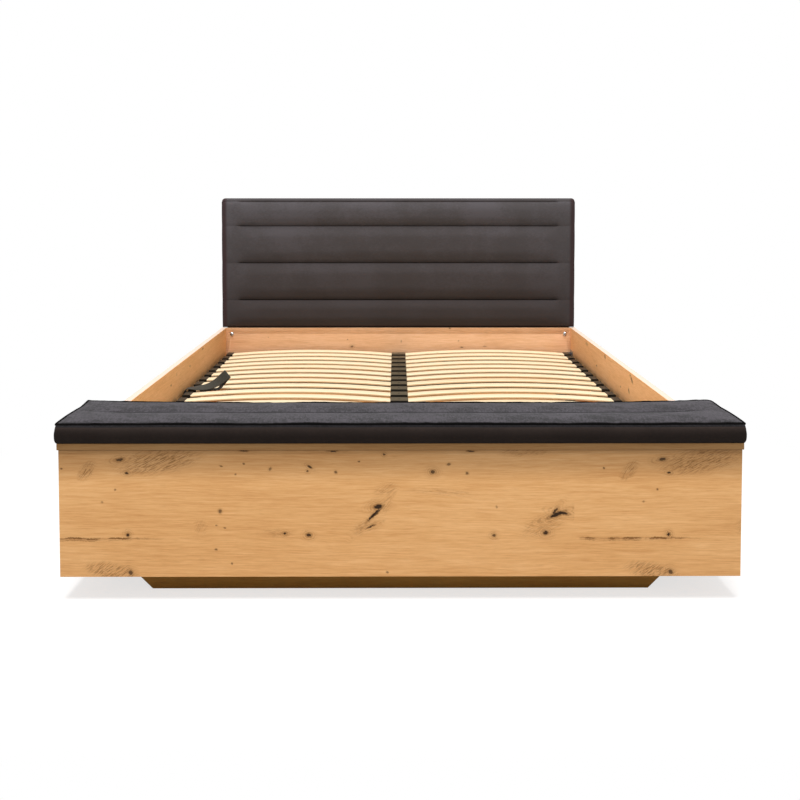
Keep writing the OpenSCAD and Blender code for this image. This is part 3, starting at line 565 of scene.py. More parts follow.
# Long fine cracks in metres: ends along the grain, height, half height and darkness
FRONT_CRACKS = [(-0.885, -0.560, 0.155, 0.0017, 0.95), (-0.885, -0.640, 0.1505, 0.0012, 0.60)]
FEATHER_SIZE = (0.020, 1, 0.0022)
RING_SPACING = 0.0042
RINGED_DARKNESS = 0.65
DECOR_REPEAT = 1.3168
DECOR_START = -0.8945
NO_REPEAT = 6.0
# Knots, figure, repeat and cracks of each decor
DECORS = {
    "front": (FRONT_KNOTS, FRONT_FIGURE, DECOR_REPEAT, FRONT_CRACKS),
    "head": (HEAD_KNOTS, [], NO_REPEAT, []),
    "left": (LEFT_KNOTS, [], NO_REPEAT, []),
    "right": (RIGHT_KNOTS, [], NO_REPEAT, []),
    "other": (OTHER_KNOTS, OTHER_FIGURE, DECOR_REPEAT, []),
}


def spot_group():
    """A node group: how far a point is from the middle of a leaning ellipse, 1 on its rim."""
    given = ("Along", "Up", "Middle along", "Middle up", "Cos", "Sin", "Long", "High")
    group = Group("decor_spot", given, {"Distance": "Float"})
    along, up, middle_along, middle_up, cos, sin, long, high = group.given
    along, up = along - middle_along, up - middle_up
    rim_share = group.distance(
        (along * cos + up * sin) / long, (up * cos - along * sin) / high, 0.0
    )
    group.put(group.results["Distance"], rim_share)
    return group.tree


def decor_group(name, wood, knots, figures, repeat, cracks):
    """A node group with an oak decor: colour and relief from a place on it."""
    group = Group(name, ("Along", "Up", "Deep"), {"Color": "Color", "Height": "Float"})
    spot = bpy.data.node_groups.get("decor_spot") or spot_group()
    along, up, deep = group.given

    # Wrap the decor, and roughen its places so that no outline is a clean ellipse
    whole = group.gather(along, deep, up)
    ragged = (group.noise(whole, 210, 4, 0.7) - 0.5) * 0.009
    start = DECOR_START if repeat == DECOR_REPEAT else -repeat / 2
    wrapped = group.math("WRAP", along, start + repeat, start)
    rough_along = wrapped + ragged
    rough_up = up + ragged * -0.7

    def marks(table):
        """Each mark's distance from a point, height, half height and the rest of its row."""
        for row in table:
            middle, height, long, high = (value / 1000 for value in row[:4])
            lean = math.radians(row[4])
            values = (rough_along, rough_up, middle, height, math.cos(lean), math.sin(lean),
                      long, high)
            node = group.add("Group", dict(enumerate(values)), node_tree=spot)
            yield Value(group, node.outputs[0]), height, high, row[5:]

    # Knots have dark cores; the grain opens in rings round the darker ones and the figure
    knot = stain = halo = lift = 0.0
    ring = 1.0
    for distance, height, high, (dark,) in marks(knots):
        knot = group.larger(distance.fade(0.92, 0.62) * dark, knot)
        stain = group.larger(distance.fade(1.7, 0.7) * (0.55 * dark), stain)
        if dark > RINGED_DARKNESS:
            around = distance.fade(4.2, 0.8)
            halo = group.larger(halo, around)
            ring = group.math("MINIMUM", ring, distance * high)
            lift = around * (up - height) + lift
    figure = strokes = 0.0
    for distance, height, _, (strength, lean) in marks(figures):
        share = distance.fade(1.0, 0.30)
        figure = group.larger(share * strength, figure)
        turn = (0, -math.radians(lean), 0)
        feather = group.stretch(whole, FEATHER_SIZE, turn, "TEXTURE")
        feather = group.noise(feather, 1.0, 3, 0.6, 0.6).fade(0.45, 0.62)
        strokes = group.larger(strokes, feather * (share * strength))
        lift = share * (up - height) + lift

    # Grain: broad tones, soft streaks and short pores, all on the same leaning lines
    sway = (group.noise(whole, (1.4, 3.0, 5.0), 2) - 0.5) * 0.035
    grain = group.gather(along, deep, up - lift * 0.55 + sway)
    cloud = group.noise(grain, (3.5, 8, 16))
    streak = group.noise(grain, (3.2, 60, 130), 4, 0.6, 0.1)
    fine = group.noise(grain, (16, 260, 520), 4, 0.7)
    mottle = group.noise(grain, (14, 120, 210), 4, 0.65)
    tone = cloud * 0.20 + streak * 0.16 + fine * 0.42 + mottle * 0.22
    colour = group.ramp(
        tone, (0.36, wood.oak_dark), (0.50, wood.oak_middle), (0.64, wood.oak_light)
    )
    pores = group.noise(grain, (34, 600, 1300), 2).fade(0.57, 0.72)
    colour = group.mix(pores * 0.32, colour, wood.figure)

    # Figure and halo: a browner ground with fine dark growth lines
    halo = halo * 0.75
    colour = group.mix(group.larger(figure, halo) * 0.28, colour, wood.figure)
    colour = group.mix(strokes * 0.70, colour, wood.figure_line)
    ringed = group.gather(along * 0.35, deep, ring)
    rings = group.wave(ringed, 0.314 / RING_SPACING, 4.5, 3, "Z").fade(0.50, 0.95) * halo
    rings = rings * group.noise(grain, 60, 3, 0.6).fade(0.30, 0.62)
    colour = group.mix(rings * 0.62, colour, wood.figure_line)
    dent = knot
    for crack in cracks:
        split = crack_mask(group, along, wrapped, rough_up, whole, crack)
        colour = group.mix(split, colour, wood.figure_line)
        dent = group.larger(dent, split)
    colour = group.mix(stain, colour, wood.figure_line)
    colour = group.mix(knot, colour, wood.knot)
    group.put(group.results["Color"], colour)
    group.put(group.results["Height"], fine * 0.35 - pores * 0.30 - dent * 0.6)
    return group.tree


def crack_mask(group, along, wrapped, up, whole, crack):
    """Where a wandering, fading dark line runs along the grain."""
    first, last, height, reach, darkness = crack
    middle = group.noise(group.gather(along, 0.0, height), 16, 4, 0.6) * 0.012 + (height - 0.006)
    line = abs(up - middle).fade(reach * 2.0, reach * 0.4)
    inside = wrapped.fade(first, first + 0.01) * wrapped.fade(last, last - 0.12)
    fading = group.noise(whole, (30, 1, 1)).fade(0.36, 0.56, 0.3, 1.0)
    return line * inside * fading * darkness


def oak(name, decor, axis, shift, tint, banded_and_top_lit):
    """Oak decor with its grain along one axis of the bed, started at another place on the foil."""
    wood = bpy.context.scene.bed_wood
    foil = "oak_decor_" + decor
    tree = bpy.data.node_groups.get(foil) or decor_group(foil, wood, *DECORS[decor])
    finish = Finish(name)
    x, y, z = finish.split(finish.place())
    along, up, deep = {"x": (x, z, y), "y": (y, z, x), "z": (z, x, y)}[axis]
    node = finish.add("Group", {0: along + shift, 1: up, 2: deep}, node_tree=tree)
    # The tint is painted light on the head panel and rails and painted shade on the lid board and
    # plinth
    colour = finish.times(node.outputs["Color"], tint)
    height = Value(finish, node.outputs["Height"])
    if decor == "front":
        # Painted shadow under the lid's overhang, with a darker painted line of shade in the gap
        # at its top edge, and painted light towards the foot
        tone = z.fade(0.27, 0.07, 0.97, 1.16, "LINEAR") * z.fade(0.282, 0.348, 1.0, 0.66)
        colour = finish.times(colour, tone * z.fade(0.3700, 0.3712, 1.0, 0.6))
    if banded_and_top_lit:
        # Upward faces are paler: partly the edge banding, partly painted top light
        colour = finish.mix(finish.upright().fade(0.90, 0.97) * 0.85, colour, wood.banding)
    roughness = height.fade(-0.3, 0.4, 0.62, 0.50, "LINEAR")
    return finish.shade(colour, roughness, finish.bump(height, 0.0004, 0.5), specular=0.15)


OUTER_TINT = (1.0, 1.0, 1.0)
# Painted light: the head panel and rails paler and cooler as if lit off the slats, the right rail
# most as the key comes from the left
HEAD_PAINTED_LIGHT_TINT = (1.19, 1.30, 1.84)
LEFT_PAINTED_LIGHT_TINT = (1.19, 1.20, 1.26)
RIGHT_PAINTED_LIGHT_TINT = (1.30, 1.35, 1.56)
INNER_TINT = (0.95, 0.94, 0.90)
# Painted shade: the lid board's edge darkened as under the cushion's overhang
LID_PAINTED_SHADE_TINT = (0.39, 0.38, 0.34)
# Painted shade: the plinth darkened as in the shade under the chest
PLINTH_PAINTED_SHADE_TINT = (0.44, 0.43, 0.24)


class BED_OT_oak_boards(bpy.types.Operator):
    """Panels, rails, lid board and plinth in oak decor, with upward faces paler as edge banding
    and painted top light
    """

    bl_idname = "bed.oak_boards"
    bl_label = "Oak boards"

    # Material, decor, grain axis, where it starts on the foil, tint (painted light and shade on
    # some boards), banding and painted top light, body and boards
    SETS = (
        ("oak_front", "front", "x", 0.0, OUTER_TINT, True, "bed", ("chest_front",)),
        ("oak_head", "head", "x", 0.0, HEAD_PAINTED_LIGHT_TINT, False, "bed", ("head_panel",)),
        ("oak_lid", "other", "x", 0.77, LID_PAINTED_SHADE_TINT, False, "chest_lid", ("lid_board",)),
        ("oak_left", "left", "y", 0.0, LEFT_PAINTED_LIGHT_TINT, True, "bed",
         ("chest_side_left", "side_rail_left")),
        ("oak_right", "right", "y", 0.0, RIGHT_PAINTED_LIGHT_TINT, True, "bed",
         ("chest_side_right", "side_rail_right")),
        ("oak_inside", "other", "x", 0.55, INNER_TINT, True, "bed", ("chest_back",)),
        ("oak_bottom", "other", "x", 0.90, INNER_TINT, False, "bed", ("chest_bottom",)),
        ("oak_plinth", "other", "x", 0.30, PLINTH_PAINTED_SHADE_TINT, False, "bed",
         ("plinth_front", "plinth_rear")),
        ("oak_floor", "other", "y", 0.15, INNER_TINT, False, "bed",
         ("box_floor_left", "box_floor_right")),
        ("oak_plinth_side", "other", "y", 0.40, PLINTH_PAINTED_SHADE_TINT, False, "bed",
         ("plinth_left", "plinth_right", "plinth_centre")),
        ("oak_post", "other", "z", 0.2, INNER_TINT, False, "bed", ("headboard_posts",)),
    )

    def execute(self, context):
        edge = context.scene.bed_wood.board_edge
        for *look, body, nodes in self.SETS:
            finish = oak(*look)
            for node in nodes:
                board = copy_of_node(node, "oak_" + node)
                ease_edges(board, edge)
                smooth(board)
                paint(board, finish)
                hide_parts(node)
                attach(board, body)
        return {"FINISHED"}


# ------------------------------------------------------------------ slats

SLAT_THICK = 0.008
SLAT_WIDTH = 0.053
# Painted light: the slats' upright edges are lightened as if lit as brightly as their tops
SLAT_EDGE_PAINTED_LIGHT = (1.3, 1.32, 1.3)
# Ledges under the steel frame and their grain
LEDGES = {"ledge_left": "y", "ledge_head": "x", "ledge_foot": "x"}


def beech(name, along):
    """Pale laminated beech with fine pores and a few brown flecks, grain along one axis."""
    wood = bpy.context.scene.bed_wood
    finish = Finish(name)
    x, y, z = finish.split(finish.place())
    place = finish.gather(*{"x": (x, y, z), "y": (y, x, z)}[along])
    row = finish.noise(place, (0.6, 9, 9), 1, 0.4)
    fine = finish.noise(place, (5, 260, 260), 4, 0.6)
    colour = finish.ramp(
        row * 0.6 + fine * 0.4, (0.30, wood.beech_edge), (0.46, wood.beech), (1.0, wood.beech)
    )
    plies = finish.wave(finish.stretch(place, (0, 0, 1)), 190, 1.0, 1, "Z")
    on_edge = abs(finish.upright()).fade(0.75, 0.45)
    colour = finish.mix(plies.fade(0.55, 0.8) * on_edge * 0.3, colour, wood.beech_edge)
    # Painted light on the upright edges
    colour = finish.mix(on_edge, colour, SLAT_EDGE_PAINTED_LIGHT, "MULTIPLY")
    fleck = finish.noise(place, (14, 60, 60), 2).fade(0.74, 0.80)
    colour = finish.mix(fleck * 0.6, colour, wood.oak_dark)
    return finish.shade(colour, 0.42, finish.bump(fine, 0.0002, 0.35), specular=0.4)


class BED_OT_slats(bpy.types.Operator):
    """Crowned slats with rounded edges, and the ledges under the steel frame"""

    bl_idname = "bed.slats"
    bl_label = "Beech slats"

    def rows(self, node):
        """The middles of the slats, from the sides of their solids."""
        sides = sorted({round(v.co.y, 4) for v in frame["nodes"][node].data.vertices})
        pairs = [(a, b) for a in sides for b in sides if abs(b - a - SLAT_WIDTH) < 0.0002]
        return sorted({round((a + b) / 2, 4) for a, b in pairs})

    def one_slat(self, name, low, high, row):
        """One slat from the pocket of the middle cap to the pocket of the side cap."""
        wood = bpy.context.scene.bed_wood
        rise = high.z - low.z - SLAT_THICK
        chord = high.x - low.x
        radius = (chord * chord / 4 + rise * rise) / (2 * rise)
        middle = (low.x + high.x) / 2
        slat = block(name, (low.x, row - SLAT_WIDTH / 2, 0),
                     (high.x, row + SLAT_WIDTH / 2, SLAT_THICK))
        cut_along(slat, 0, wood.slat_steps)
        for vertex in slat.data.vertices:
            reach = radius + vertex.co.z
            across = vertex.co.x - middle
            vertex.co.z = low.z + rise - radius + math.sqrt(reach * reach - across * across)
        ease_edges(slat, wood.slat_edge, 3, 50)
        smooth(slat, 40)
        return slat

    def execute(self, context):
        finish = beech("beech_slat", "x")
        for side in ("left", "right"):
            node = "slats_" + side
            low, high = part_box(node)
            slats = [self.one_slat(f"slat_{side}_{index}", low, high, row)
                     for index, row in enumerate(self.rows(node))]
            field = join(slats, "beech_" + node)
            paint(field, finish)
            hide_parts(node)
            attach(field, "slatted_base")
        for node, along in LEDGES.items():
            paint(frame["nodes"][node], beech("beech_" + node, along))
        return {"FINISHED"}


# ------------------------------------------------------------------ fittings


def speckled(name, colour, roughness, grain, depth, **fixed):
    """A plain coat with a fine uneven surface and slight changes of tone."""
    finish = Finish(name)
    place = finish.place()
    fine = finish.noise(place, grain, 3, 0.6)
    cloud = finish.noise(place, 9)
    tone = finish.mix(cloud.fade(0.3, 0.7), scaled(colour, 0.72), colour)
    worn = (fine + cloud).fade(0.7, 1.3, roughness - 0.08, roughness + 0.08)
    return finish.shade(tone, worn, finish.bump(fine, depth, 0.6), **fixed)


def moulded(name, colour, scuffed_and_lit):
    """Dark moulded plastic, lighter on its upper side, most in the middle of the bed: partly
    scuffs, partly painted top light.
    """
    finish = Finish(name)
    place = finish.place()
    grain = finish.noise(place, 1400, 3, 0.6)
    cloud = finish.noise(place, (12, 60, 12), 3, 0.6)
    # Upward faces lighter: partly scuffs, partly painted top light
    top = finish.upright().fade(0.5, 0.9) * cloud.fade(0.2, 0.6, 0.55, 1.0)
    top = top * abs(finish.split(place)[0]).fade(0.2, 0.6, 1.0, 0.3)
    return finish.shade(finish.mix(top, colour, scuffed_and_lit), grain.fade(0.3, 0.7, 0.42, 0.58),
                        finish.bump(grain, 0.00005, 0.6), specular=0.25)


def brushed_zinc(name, colour):
    """Bright plated steel with fine drawn lines."""
    finish = Finish(name)
    place = finish.place()
    lines = finish.noise(place, (1800, 120, 1800), 2)
    spangle = finish.noise(place, 320, 2)
    tone = finish.mix(spangle.fade(0.35, 0.65), scaled(colour, 0.78), colour)
    worn = lines.fade(0.3, 0.7, 0.24, 0.42)
    return finish.shade(tone, worn, finish.bump(lines, 0.00003, 0.5), metallic=1.0)


class BED_OT_fittings(bpy.types.Operator):
    """Powder-coated frame, plated hinges and screws, moulded caps and the gas struts"""

    bl_idname = "bed.fittings"
    bl_label = "Frame, caps and hardware"

    def execute(self, context):
        colours = context.scene.bed_fittings
        finishes = {
            "painted_steel": speckled("powder_coat", colours.powder, 0.48, 900, 0.00008),
            "zinc_steel": brushed_zinc("bright_zinc", colours.zinc),
            "cap_plastic": moulded("moulded_cap", colours.plastic, colours.dust_and_top_light),
        }
        for part in frame["record"]["subparts"]:
            if part["material_slot"] in finishes:
                paint(frame["nodes"][part["node"]], finishes[part["material_slot"]])
        return {"FINISHED"}


# ------------------------------------------------------------------ headboard

# How dark the sewn lines look, as thread and painted crease shade, from the lowest to the topmost
SEAM_DARKNESS = (1.0, 0.85, 0.60, 0.45)
# Where a deep channel has faded out, as a share of its end's distance from the side
CHANNEL_FADE = 0.72


def microfibre(name, colour, darker, shades=None, sheen=0.08, specular=0.12):
    """Short smooth nap: soft clouds where it lies differently, and a very fine tooth."""
    finish = Finish(name)
    place = finish.place()
    cloud = finish.noise(place, 5, 4, 0.55)
    nap = finish.noise(place, (90, 90, 160), 4, 0.6)
    tooth = finish.noise(place, 1500, 2, 0.6)
    tone = finish.mix((cloud * 0.65 + nap * 0.35).fade(0.40, 0.62), darker, colour)
    tone = finish.mix(tooth.fade(0.5, 0.8) * 0.25, tone, scaled(colour, 1.5))
    if shades:
        tone = shades(finish, tone)
    return finish.shade(tone, 0.85, finish.bump(tooth, 0.0002, 0.5), specular, sheen)


def edge_fill(share, power, round_over):
    """How full a pad is near its ends, 0 on the edge to 1 inside."""
    return max(0.0, 1 - abs(share) ** power) ** round_over


def lane_fill(place, seams, flatness, sag):
    """How full a lane is at a place between its two seams; sag fills its lower part."""
    for low, high in zip(seams, seams[1:]):
        share = (2 * place - low - high) / (high - low)
        if abs(share) <= 1:
            return (1 - abs(share) ** flatness) ** 0.56 * (1 - sag * share)
    return 0.0


class BED_OT_headboard(bpy.types.Operator):
    """Quilted headboard: four lanes with sewn channels between them"""

    bl_idname = "bed.headboard"
    bl_label = "Quilted headboard"

    def rows_between(self, low, high):
        """Heights at which one lane is cut: close to its seams, wide in its middle."""
        middle = cuts_between(low + NEAR_CUTS[-1], high - NEAR_CUTS[-1])
        return [low + n for n in NEAR_CUTS] + middle + [high - n for n in NEAR_CUTS] + [high]

    def quilt(self, vertex, pad, low, high, half, seams):
        """Move one point of the cover into the quilted shape; true where it is held."""
        x, y, z = vertex.co
        seam_top = seams[-1]
        band = high.y - low.y - pad.puff
        side = abs(x)
        inner = smoothstep(half - CHANNEL_FADE * pad.channel_end, half - pad.channel_end, side)
        depth = (0.10 + 0.90 * inner) * smoothstep(half - 0.018, half - 0.034, side)
        wave = 1 + 0.10 * wander(x, 9, z * 7) + 0.06 * wander(x, 40, z * 11)
        lane = lane_fill(min(z, seam_top), seams, 5.0, 0.06)
        up = min(1.0, 2 * (z - low.z) / (seam_top - low.z) - 1)
        fullness = edge_fill(x / half, 22, 0.5) * edge_fill(up, 30, 0.5)
        fullness *= 1 - depth * (1 - lane) * wave
        near_seam = min(abs(z - seam) for seam in seams)
        pucker = 0.0007 * math.exp(-near_seam / 0.016) * wander(x, 48, round(z * 6))
        front = band + pad.puff * max(0.0, fullness) + pucker
        if z > seam_top:
            # The band over the topmost seam rolls back to the board
            over = (z - seam_top) / pad.top_band
            front = band + pad.puff * 0.25 * math.sqrt(max(0.0, 1 - over * over))
            front -= 0.010 * over ** 3
        out = (high.y - y) / (high.y - low.y)
        swell = math.sin(math.pi * min(1.0, out * 1.08)) * smoothstep(half - 0.004, half, side)
        past_corner = max(0.0, side - half + pad.corner)
        drop = pad.corner - math.sqrt(max(0.0, pad.corner ** 2 - past_corner ** 2))
        vertex.co = (
            x + math.copysign(pad.side_band, x) * swell,
            high.y - front * out,
            z - drop * smoothstep(high.z - 0.05, high.z, z),
        )
        return out < 0.02 or near_seam < 0.003 or z > seam_top

    def cloth(self, pad, seams, half):
        """Microfibre with dark sewn lines and painted shade in their folds, painted warmer shade
        towards the foot, a painted shadow line at the foot and a painted reddish shade band along
        the rounded sides.
        """
        foot, top = seams[0], seams[-1]
        channel = half - CHANNEL_FADE * pad.channel_end, half - pad.channel_end

        def shades(finish, tone):
            x, _, z = finish.split(finish.place())
            side = abs(x)
            # Painted shade: darker and warmer towards the foot, and a little of it over the top
            # band
            tone = finish.mix(z.fade(top, top + 0.003, 0.0, 0.35), tone, pad.foot)
            tone = finish.mix(z.fade(top, foot) * 0.80, tone, pad.foot)
            # Painted shade on the rounded sides
            tone = finish.mix(side.fade(half - 0.030, half - 0.014) * 0.80, tone, pad.band)
            deep = side.fade(*channel, 0.25, 1.0) * side.fade(half - 0.016, half - 0.026)
            # Thread and painted crease shade at each seam, painted shade in the fold above it
            for seam, dark in zip(seams[1:], SEAM_DARKNESS):
                above = z - seam
                thread_and_crease_shade = abs(above).fade(0.0042, 0.0016) * (0.90 * dark)
                fold = above.fade(0.020, 0.001) * above.fade(-0.002, 0.001) * (0.45 * dark)
                tone = finish.mix(finish.larger(thread_and_crease_shade, fold) * deep, tone, pad.seam)
            # Painted shadow along the pad's foot
            return finish.mix(z.fade(foot + 0.009, foot + 0.003, 0.0, 0.85), tone, pad.seam)

        return microfibre("headboard_microfibre", pad.cloth, pad.cloth_dark, shades)

    def execute(self, context):
        pad = context.scene.bed_headboard
        low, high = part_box("headboard_pad")
        seams = [high.z - pad.top_band, high.z - pad.top_band - pad.first_lane]
        while seams[-1] - pad.lane_pitch > low.z + 0.05:
            seams.append(seams[-1] - pad.lane_pitch)
        seams = sorted(seams + [low.z])
        half = (high.x - low.x) / 2 - pad.side_band + pad.proud
        cover = block("headboard_cover", (-half, low.y, low.z), (half, high.y, high.z))
        rows = [z for a, b in zip(seams, seams[1:]) for z in self.rows_between(a, b)]
        slice_at(cover, 2, rows + [high.z - 0.005, high.z - 0.010])
        slice_length(cover, half)
        cut_along(cover, 1, 6)
        held = [vertex.index for vertex in cover.data.vertices
                if self.quilt(vertex, pad, low, high, half, seams)]
        plump(cover, held, pad)
        paint(cover, self.cloth(pad, seams, half))
        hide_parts("headboard_pad")
        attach(cover, "bed")

        board = copy_of_node("headboard_back", "headboard_lined_board")
        ease_edges(board, 0.003, 3)
        smooth(board)
        paint(board, microfibre("lining_cloth", pad.lining, pad.lining))
        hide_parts("headboard_back")
        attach(board, "bed")
        return {"FINISHED"}


# ------------------------------------------------------------------ lid cushion

# How far the piping lies under the top, and its steps along a long and a short side
PIPING_DROP = 0.006
PIPING_STEPS = (160, 40)
# Share of a side within which a point counts as on its edge
ON_EDGE = 0.0001


def pile(name, colour, shadow, front, seam, half):
    """Short fuzzy pile, flecked light and dark, darker along its front edge and at the middle
    seam, where the line is thread and painted crease shade.
    """
    finish = Finish(name)
    place = finish.place()
    x, y, _ = finish.split(place)
    tufts = finish.noise(place, (210, 75, 210), 4, 0.75)
    patches = finish.noise(place, (11, 16, 16), 5, 0.7, 0.6)
    tone = finish.mix((tufts * 0.60 + patches * 0.40).fade(0.41, 0.57), shadow, colour)
    tone = finish.mix(tufts.fade(0.58, 0.74, 0.0, 0.6), tone, scaled(colour, 1.9))
    ragged = y + finish.noise(place, 150) * 0.012
    rim = ragged.fade(front + 0.022, front + 0.008)
    line = abs(y - seam).fade(0.0045, 0.0015) * abs(x).fade(half - 0.03, half - 0.12)
    tone = finish.mix(rim * 0.85, tone, scaled(shadow, 0.3))
    # Painted crease shade along the middle seam
    tone = finish.mix(line * 0.90, tone, scaled(shadow, 0.3))
    return finish.shade(tone, 0.95, finish.bump(tufts, 0.0012, 0.7), specular=0.1, sheen=0.15)


class CushionShape:
    """The lines of the cushion, with its edges drawn in and its rear edge sagging."""

    def __init__(self, cushion, low, high, foot):
        self.cushion = cushion
        self.foot = foot
        self.top = high.z - PIPING_DROP
        self.half = (high.x - low.x) / 2 - cushion.inset
        self.front = low.y + cushion.inset
        self.rear = high.y - 0.002
        self.seam = (self.front + self.rear) / 2

    def outline(self, x, t):
        """A point on the top edge line, drawn in between the corners; t runs front to back."""
        cushion, across = self.cushion, x / self.half
        widen = cushion.inset * t - cushion.draw * 0.9 * (1 - (2 * t - 1) ** 2)
        new_x = x + math.copysign(widen * abs(across) ** 6, x)
        front = cushion.draw * 0.2 * (1 - across ** 12) + 0.0012 * wander(x, 7, 3.1)
        back = cushion.draw * 0.3 * (1 - across ** 12) + 0.0010 * wander(x, 8, 9.4)
        if x > self.half - cushion.corner:
            round_off = ((x - self.half + cushion.corner) / cushion.corner) ** 3
            back += 0.6 * cushion.corner * round_off
            new_x -= 0.25 * cushion.corner * t ** 8 * round_off
        new_y = self.front + front + t * (self.rear - self.front - front - back)
        return Vector((new_x, new_y, 0))

    def lift(self, x, t):
        """How far the edge line wanders up and sinks between the corners."""
        sink = self.cushion.sag * t * (1 - (x / self.half) ** 4)
        return 0.0012 * wander(x, 5, 2.2) - sink

    def rim(self):
        """Points of the top edge, once round from the front left corner."""
        long, short = PIPING_STEPS
        half = self.half
        places = [(-half + 2 * half * k / long, 0.0) for k in range(long)]
        places += [(half, k / short) for k in range(short)]
        places += [(half - 2 * half * k / long, 1.0) for k in range(long)]
        places += [(-half, 1 - k / short) for k in range(short)]
        points = [self.outline(x, t) for x, t in places]
        for point in points:
            t = (point.y - self.front) / (self.rear - self.front)
            point.z = self.top + self.lift(point.x, t)
        return points

    def crown(self, x, y, t):
        """How far the top stands over the edge line: two soft lanes with a sewn crease."""
        run = smoothstep(self.half - 0.02, self.half - 0.12, abs(x))
        lane = lane_fill(y, [self.front, self.seam, self.rear], 2.6, 0.0)
        fill = edge_fill(x / self.half, 40, 0.6) * edge_fill(2 * t - 1, 14, 0.6)
        fill *= 1 - (1 - lane) * (0.10 + 0.75 * run)
        rumple = 0.0009 * wander(x, 16, y * 30) * fill
        crease = 0.0016 * math.exp(-abs(y - self.seam) / 0.004) * run
        return self.cushion.crown * fill + rumple - crease

    def fill(self, vertex):
        """Move one point of the cover into the cushion's shape; true where it is held."""
        x, y, z = vertex.co
        t = (y - self.front) / (self.rear - self.front)
        level = (z - self.foot) / (self.top - self.foot)
        in_front, behind = t < ON_EDGE, t > 1 - ON_EDGE
        on_side = abs(x) > (1 - ON_EDGE) * self.half
        place = self.outline(x, t)
        # Boxing: it leans out to a tight lower corner at the sides and rolls under in front
        down = max(0.0, 1 - level)
        side_push = smoothstep(0.1, 0.62, down) * (1 - 0.8 * smoothstep(0.88, 1, down))
        side_push *= self.cushion.bulge
        front_push = 0.94 * math.sin(math.pi * down ** 0.55) + 0.06 * down
        if on_side:
            place.x += math.copysign(side_push, x)
        if in_front:
            place.y -= self.cushion.front_bulge * front_push
        elif behind:
            place.y += min(side_push * 0.3, 0.002)
        on_top = level > 0.999
        if on_top:
            place.z = self.top + self.crown(x, y, t) + self.lift(x, t)
        else:
            place.z = z + self.lift(x, t) * level
        vertex.co = place
        on_line = in_front or behind or on_side or abs(y - self.seam) < 0.002
        return level < 0.01 or on_top and on_line


class BED_OT_lid_cushion(bpy.types.Operator):
    """Seat cushion of the chest lid with its boxing, middle seam and piping"""

    bl_idname = "bed.lid_cushion"
    bl_label = "Chest cushion"

    def cover(self, shape):
        """The cushion's cover, cut close together at its edges and its middle seam."""
        cover = block("cushion_cover", (-shape.half, shape.front, shape.foot),
                      (shape.half, shape.rear, shape.top))
        near = NEAR_CUTS[-1]
        depths = [shape.front + n for n in NEAR_CUTS] + [shape.rear - n for n in NEAR_CUTS]
        depths += [shape.seam + s * n for n in NEAR_CUTS for s in (-1, 1)] + [shape.seam]
        depths += cuts_between(shape.front + near, shape.seam - near)
        depths += cuts_between(shape.seam + near, shape.rear - near)
        slice_at(cover, 1, depths)
        slice_length(cover, shape.half)
        cut_along(cover, 2, 7)
        held = [vertex.index for vertex in cover.data.vertices if shape.fill(vertex)]
        plump(cover, held, shape.cushion)
        return cover

    def boxing(self, cushion, foot, top):
        """Smooth cloth of the side band, with painted light towards the piping and painted shade
        towards its foot.
        """

        def fading(finish, tone):
            # Painted light towards the piping, painted shade towards the foot
            z = finish.split(finish.place())[2]
            upper = z.fade((foot + top) / 2, top, 1.0, 1.33)
            return finish.times(tone, z.fade(foot, top, 0.78, 1.30, "LINEAR") * upper)

        return microfibre("cushion_boxing", cushion.boxing, scaled(cushion.boxing, 0.8), fading,
                          sheen=0.03, specular=0.06)

    def piping(self, points, radius):
        """A closed cord through the points."""
        curve = bpy.data.curves.new("cushion_piping", "CURVE")
        curve.dimensions = "3D"
        curve.bevel_depth = radius
        curve.bevel_resolution = 2
        spline = curve.splines.new("POLY")
        spline.points.add(len(points) - 1)
        for knot, point in zip(spline.points, points):
            swing = 0.0020 * wander(point.x, 13, 5.5) + 0.0013 * wander(point.x, 55, 8.1)
            knot.co = (point.x, point.y - 0.0005, point.z + swing, 1)
        spline.use_cyclic_u = True
        piping = add_object("cushion_piping", curve)
        only(piping)
        bpy.ops.object.convert(target="MESH")
        smooth(piping, COVER_ANGLE)
        return piping

    def execute(self, context):
        cushion = context.scene.bed_cushion
        low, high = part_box("lid_cushion")
        shape = CushionShape(cushion, low, high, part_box("lid_board")[1].z)
        cover = self.cover(shape)
        top = pile("cushion_pile", cushion.top, cushion.top_dark, shape.front, shape.seam,
                   shape.half)
        paint(cover, self.boxing(cushion, low.z, shape.top), top)
        top_level = low.z + 0.6 * (high.z - low.z)
        for polygon in cover.data.polygons:
            on_top = polygon.normal.z > 0.6 and polygon.center.z > top_level
            polygon.material_index = int(on_top)
        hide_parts("lid_cushion")
        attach(cover, "chest_lid")

        piping = self.piping(shape.rim(), cushion.piping_radius)
        paint(piping, speckled("piping_cord", cushion.piping, 0.85, 900, 0.0002, specular=0.05))
        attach(piping, "chest_lid")
        return {"FINISHED"}


# ------------------------------------------------------------------ pull strap

STRAP_WIDTH = 0.036
STRAP_THICK = 0.0024
STRAP_COLUMNS = 6
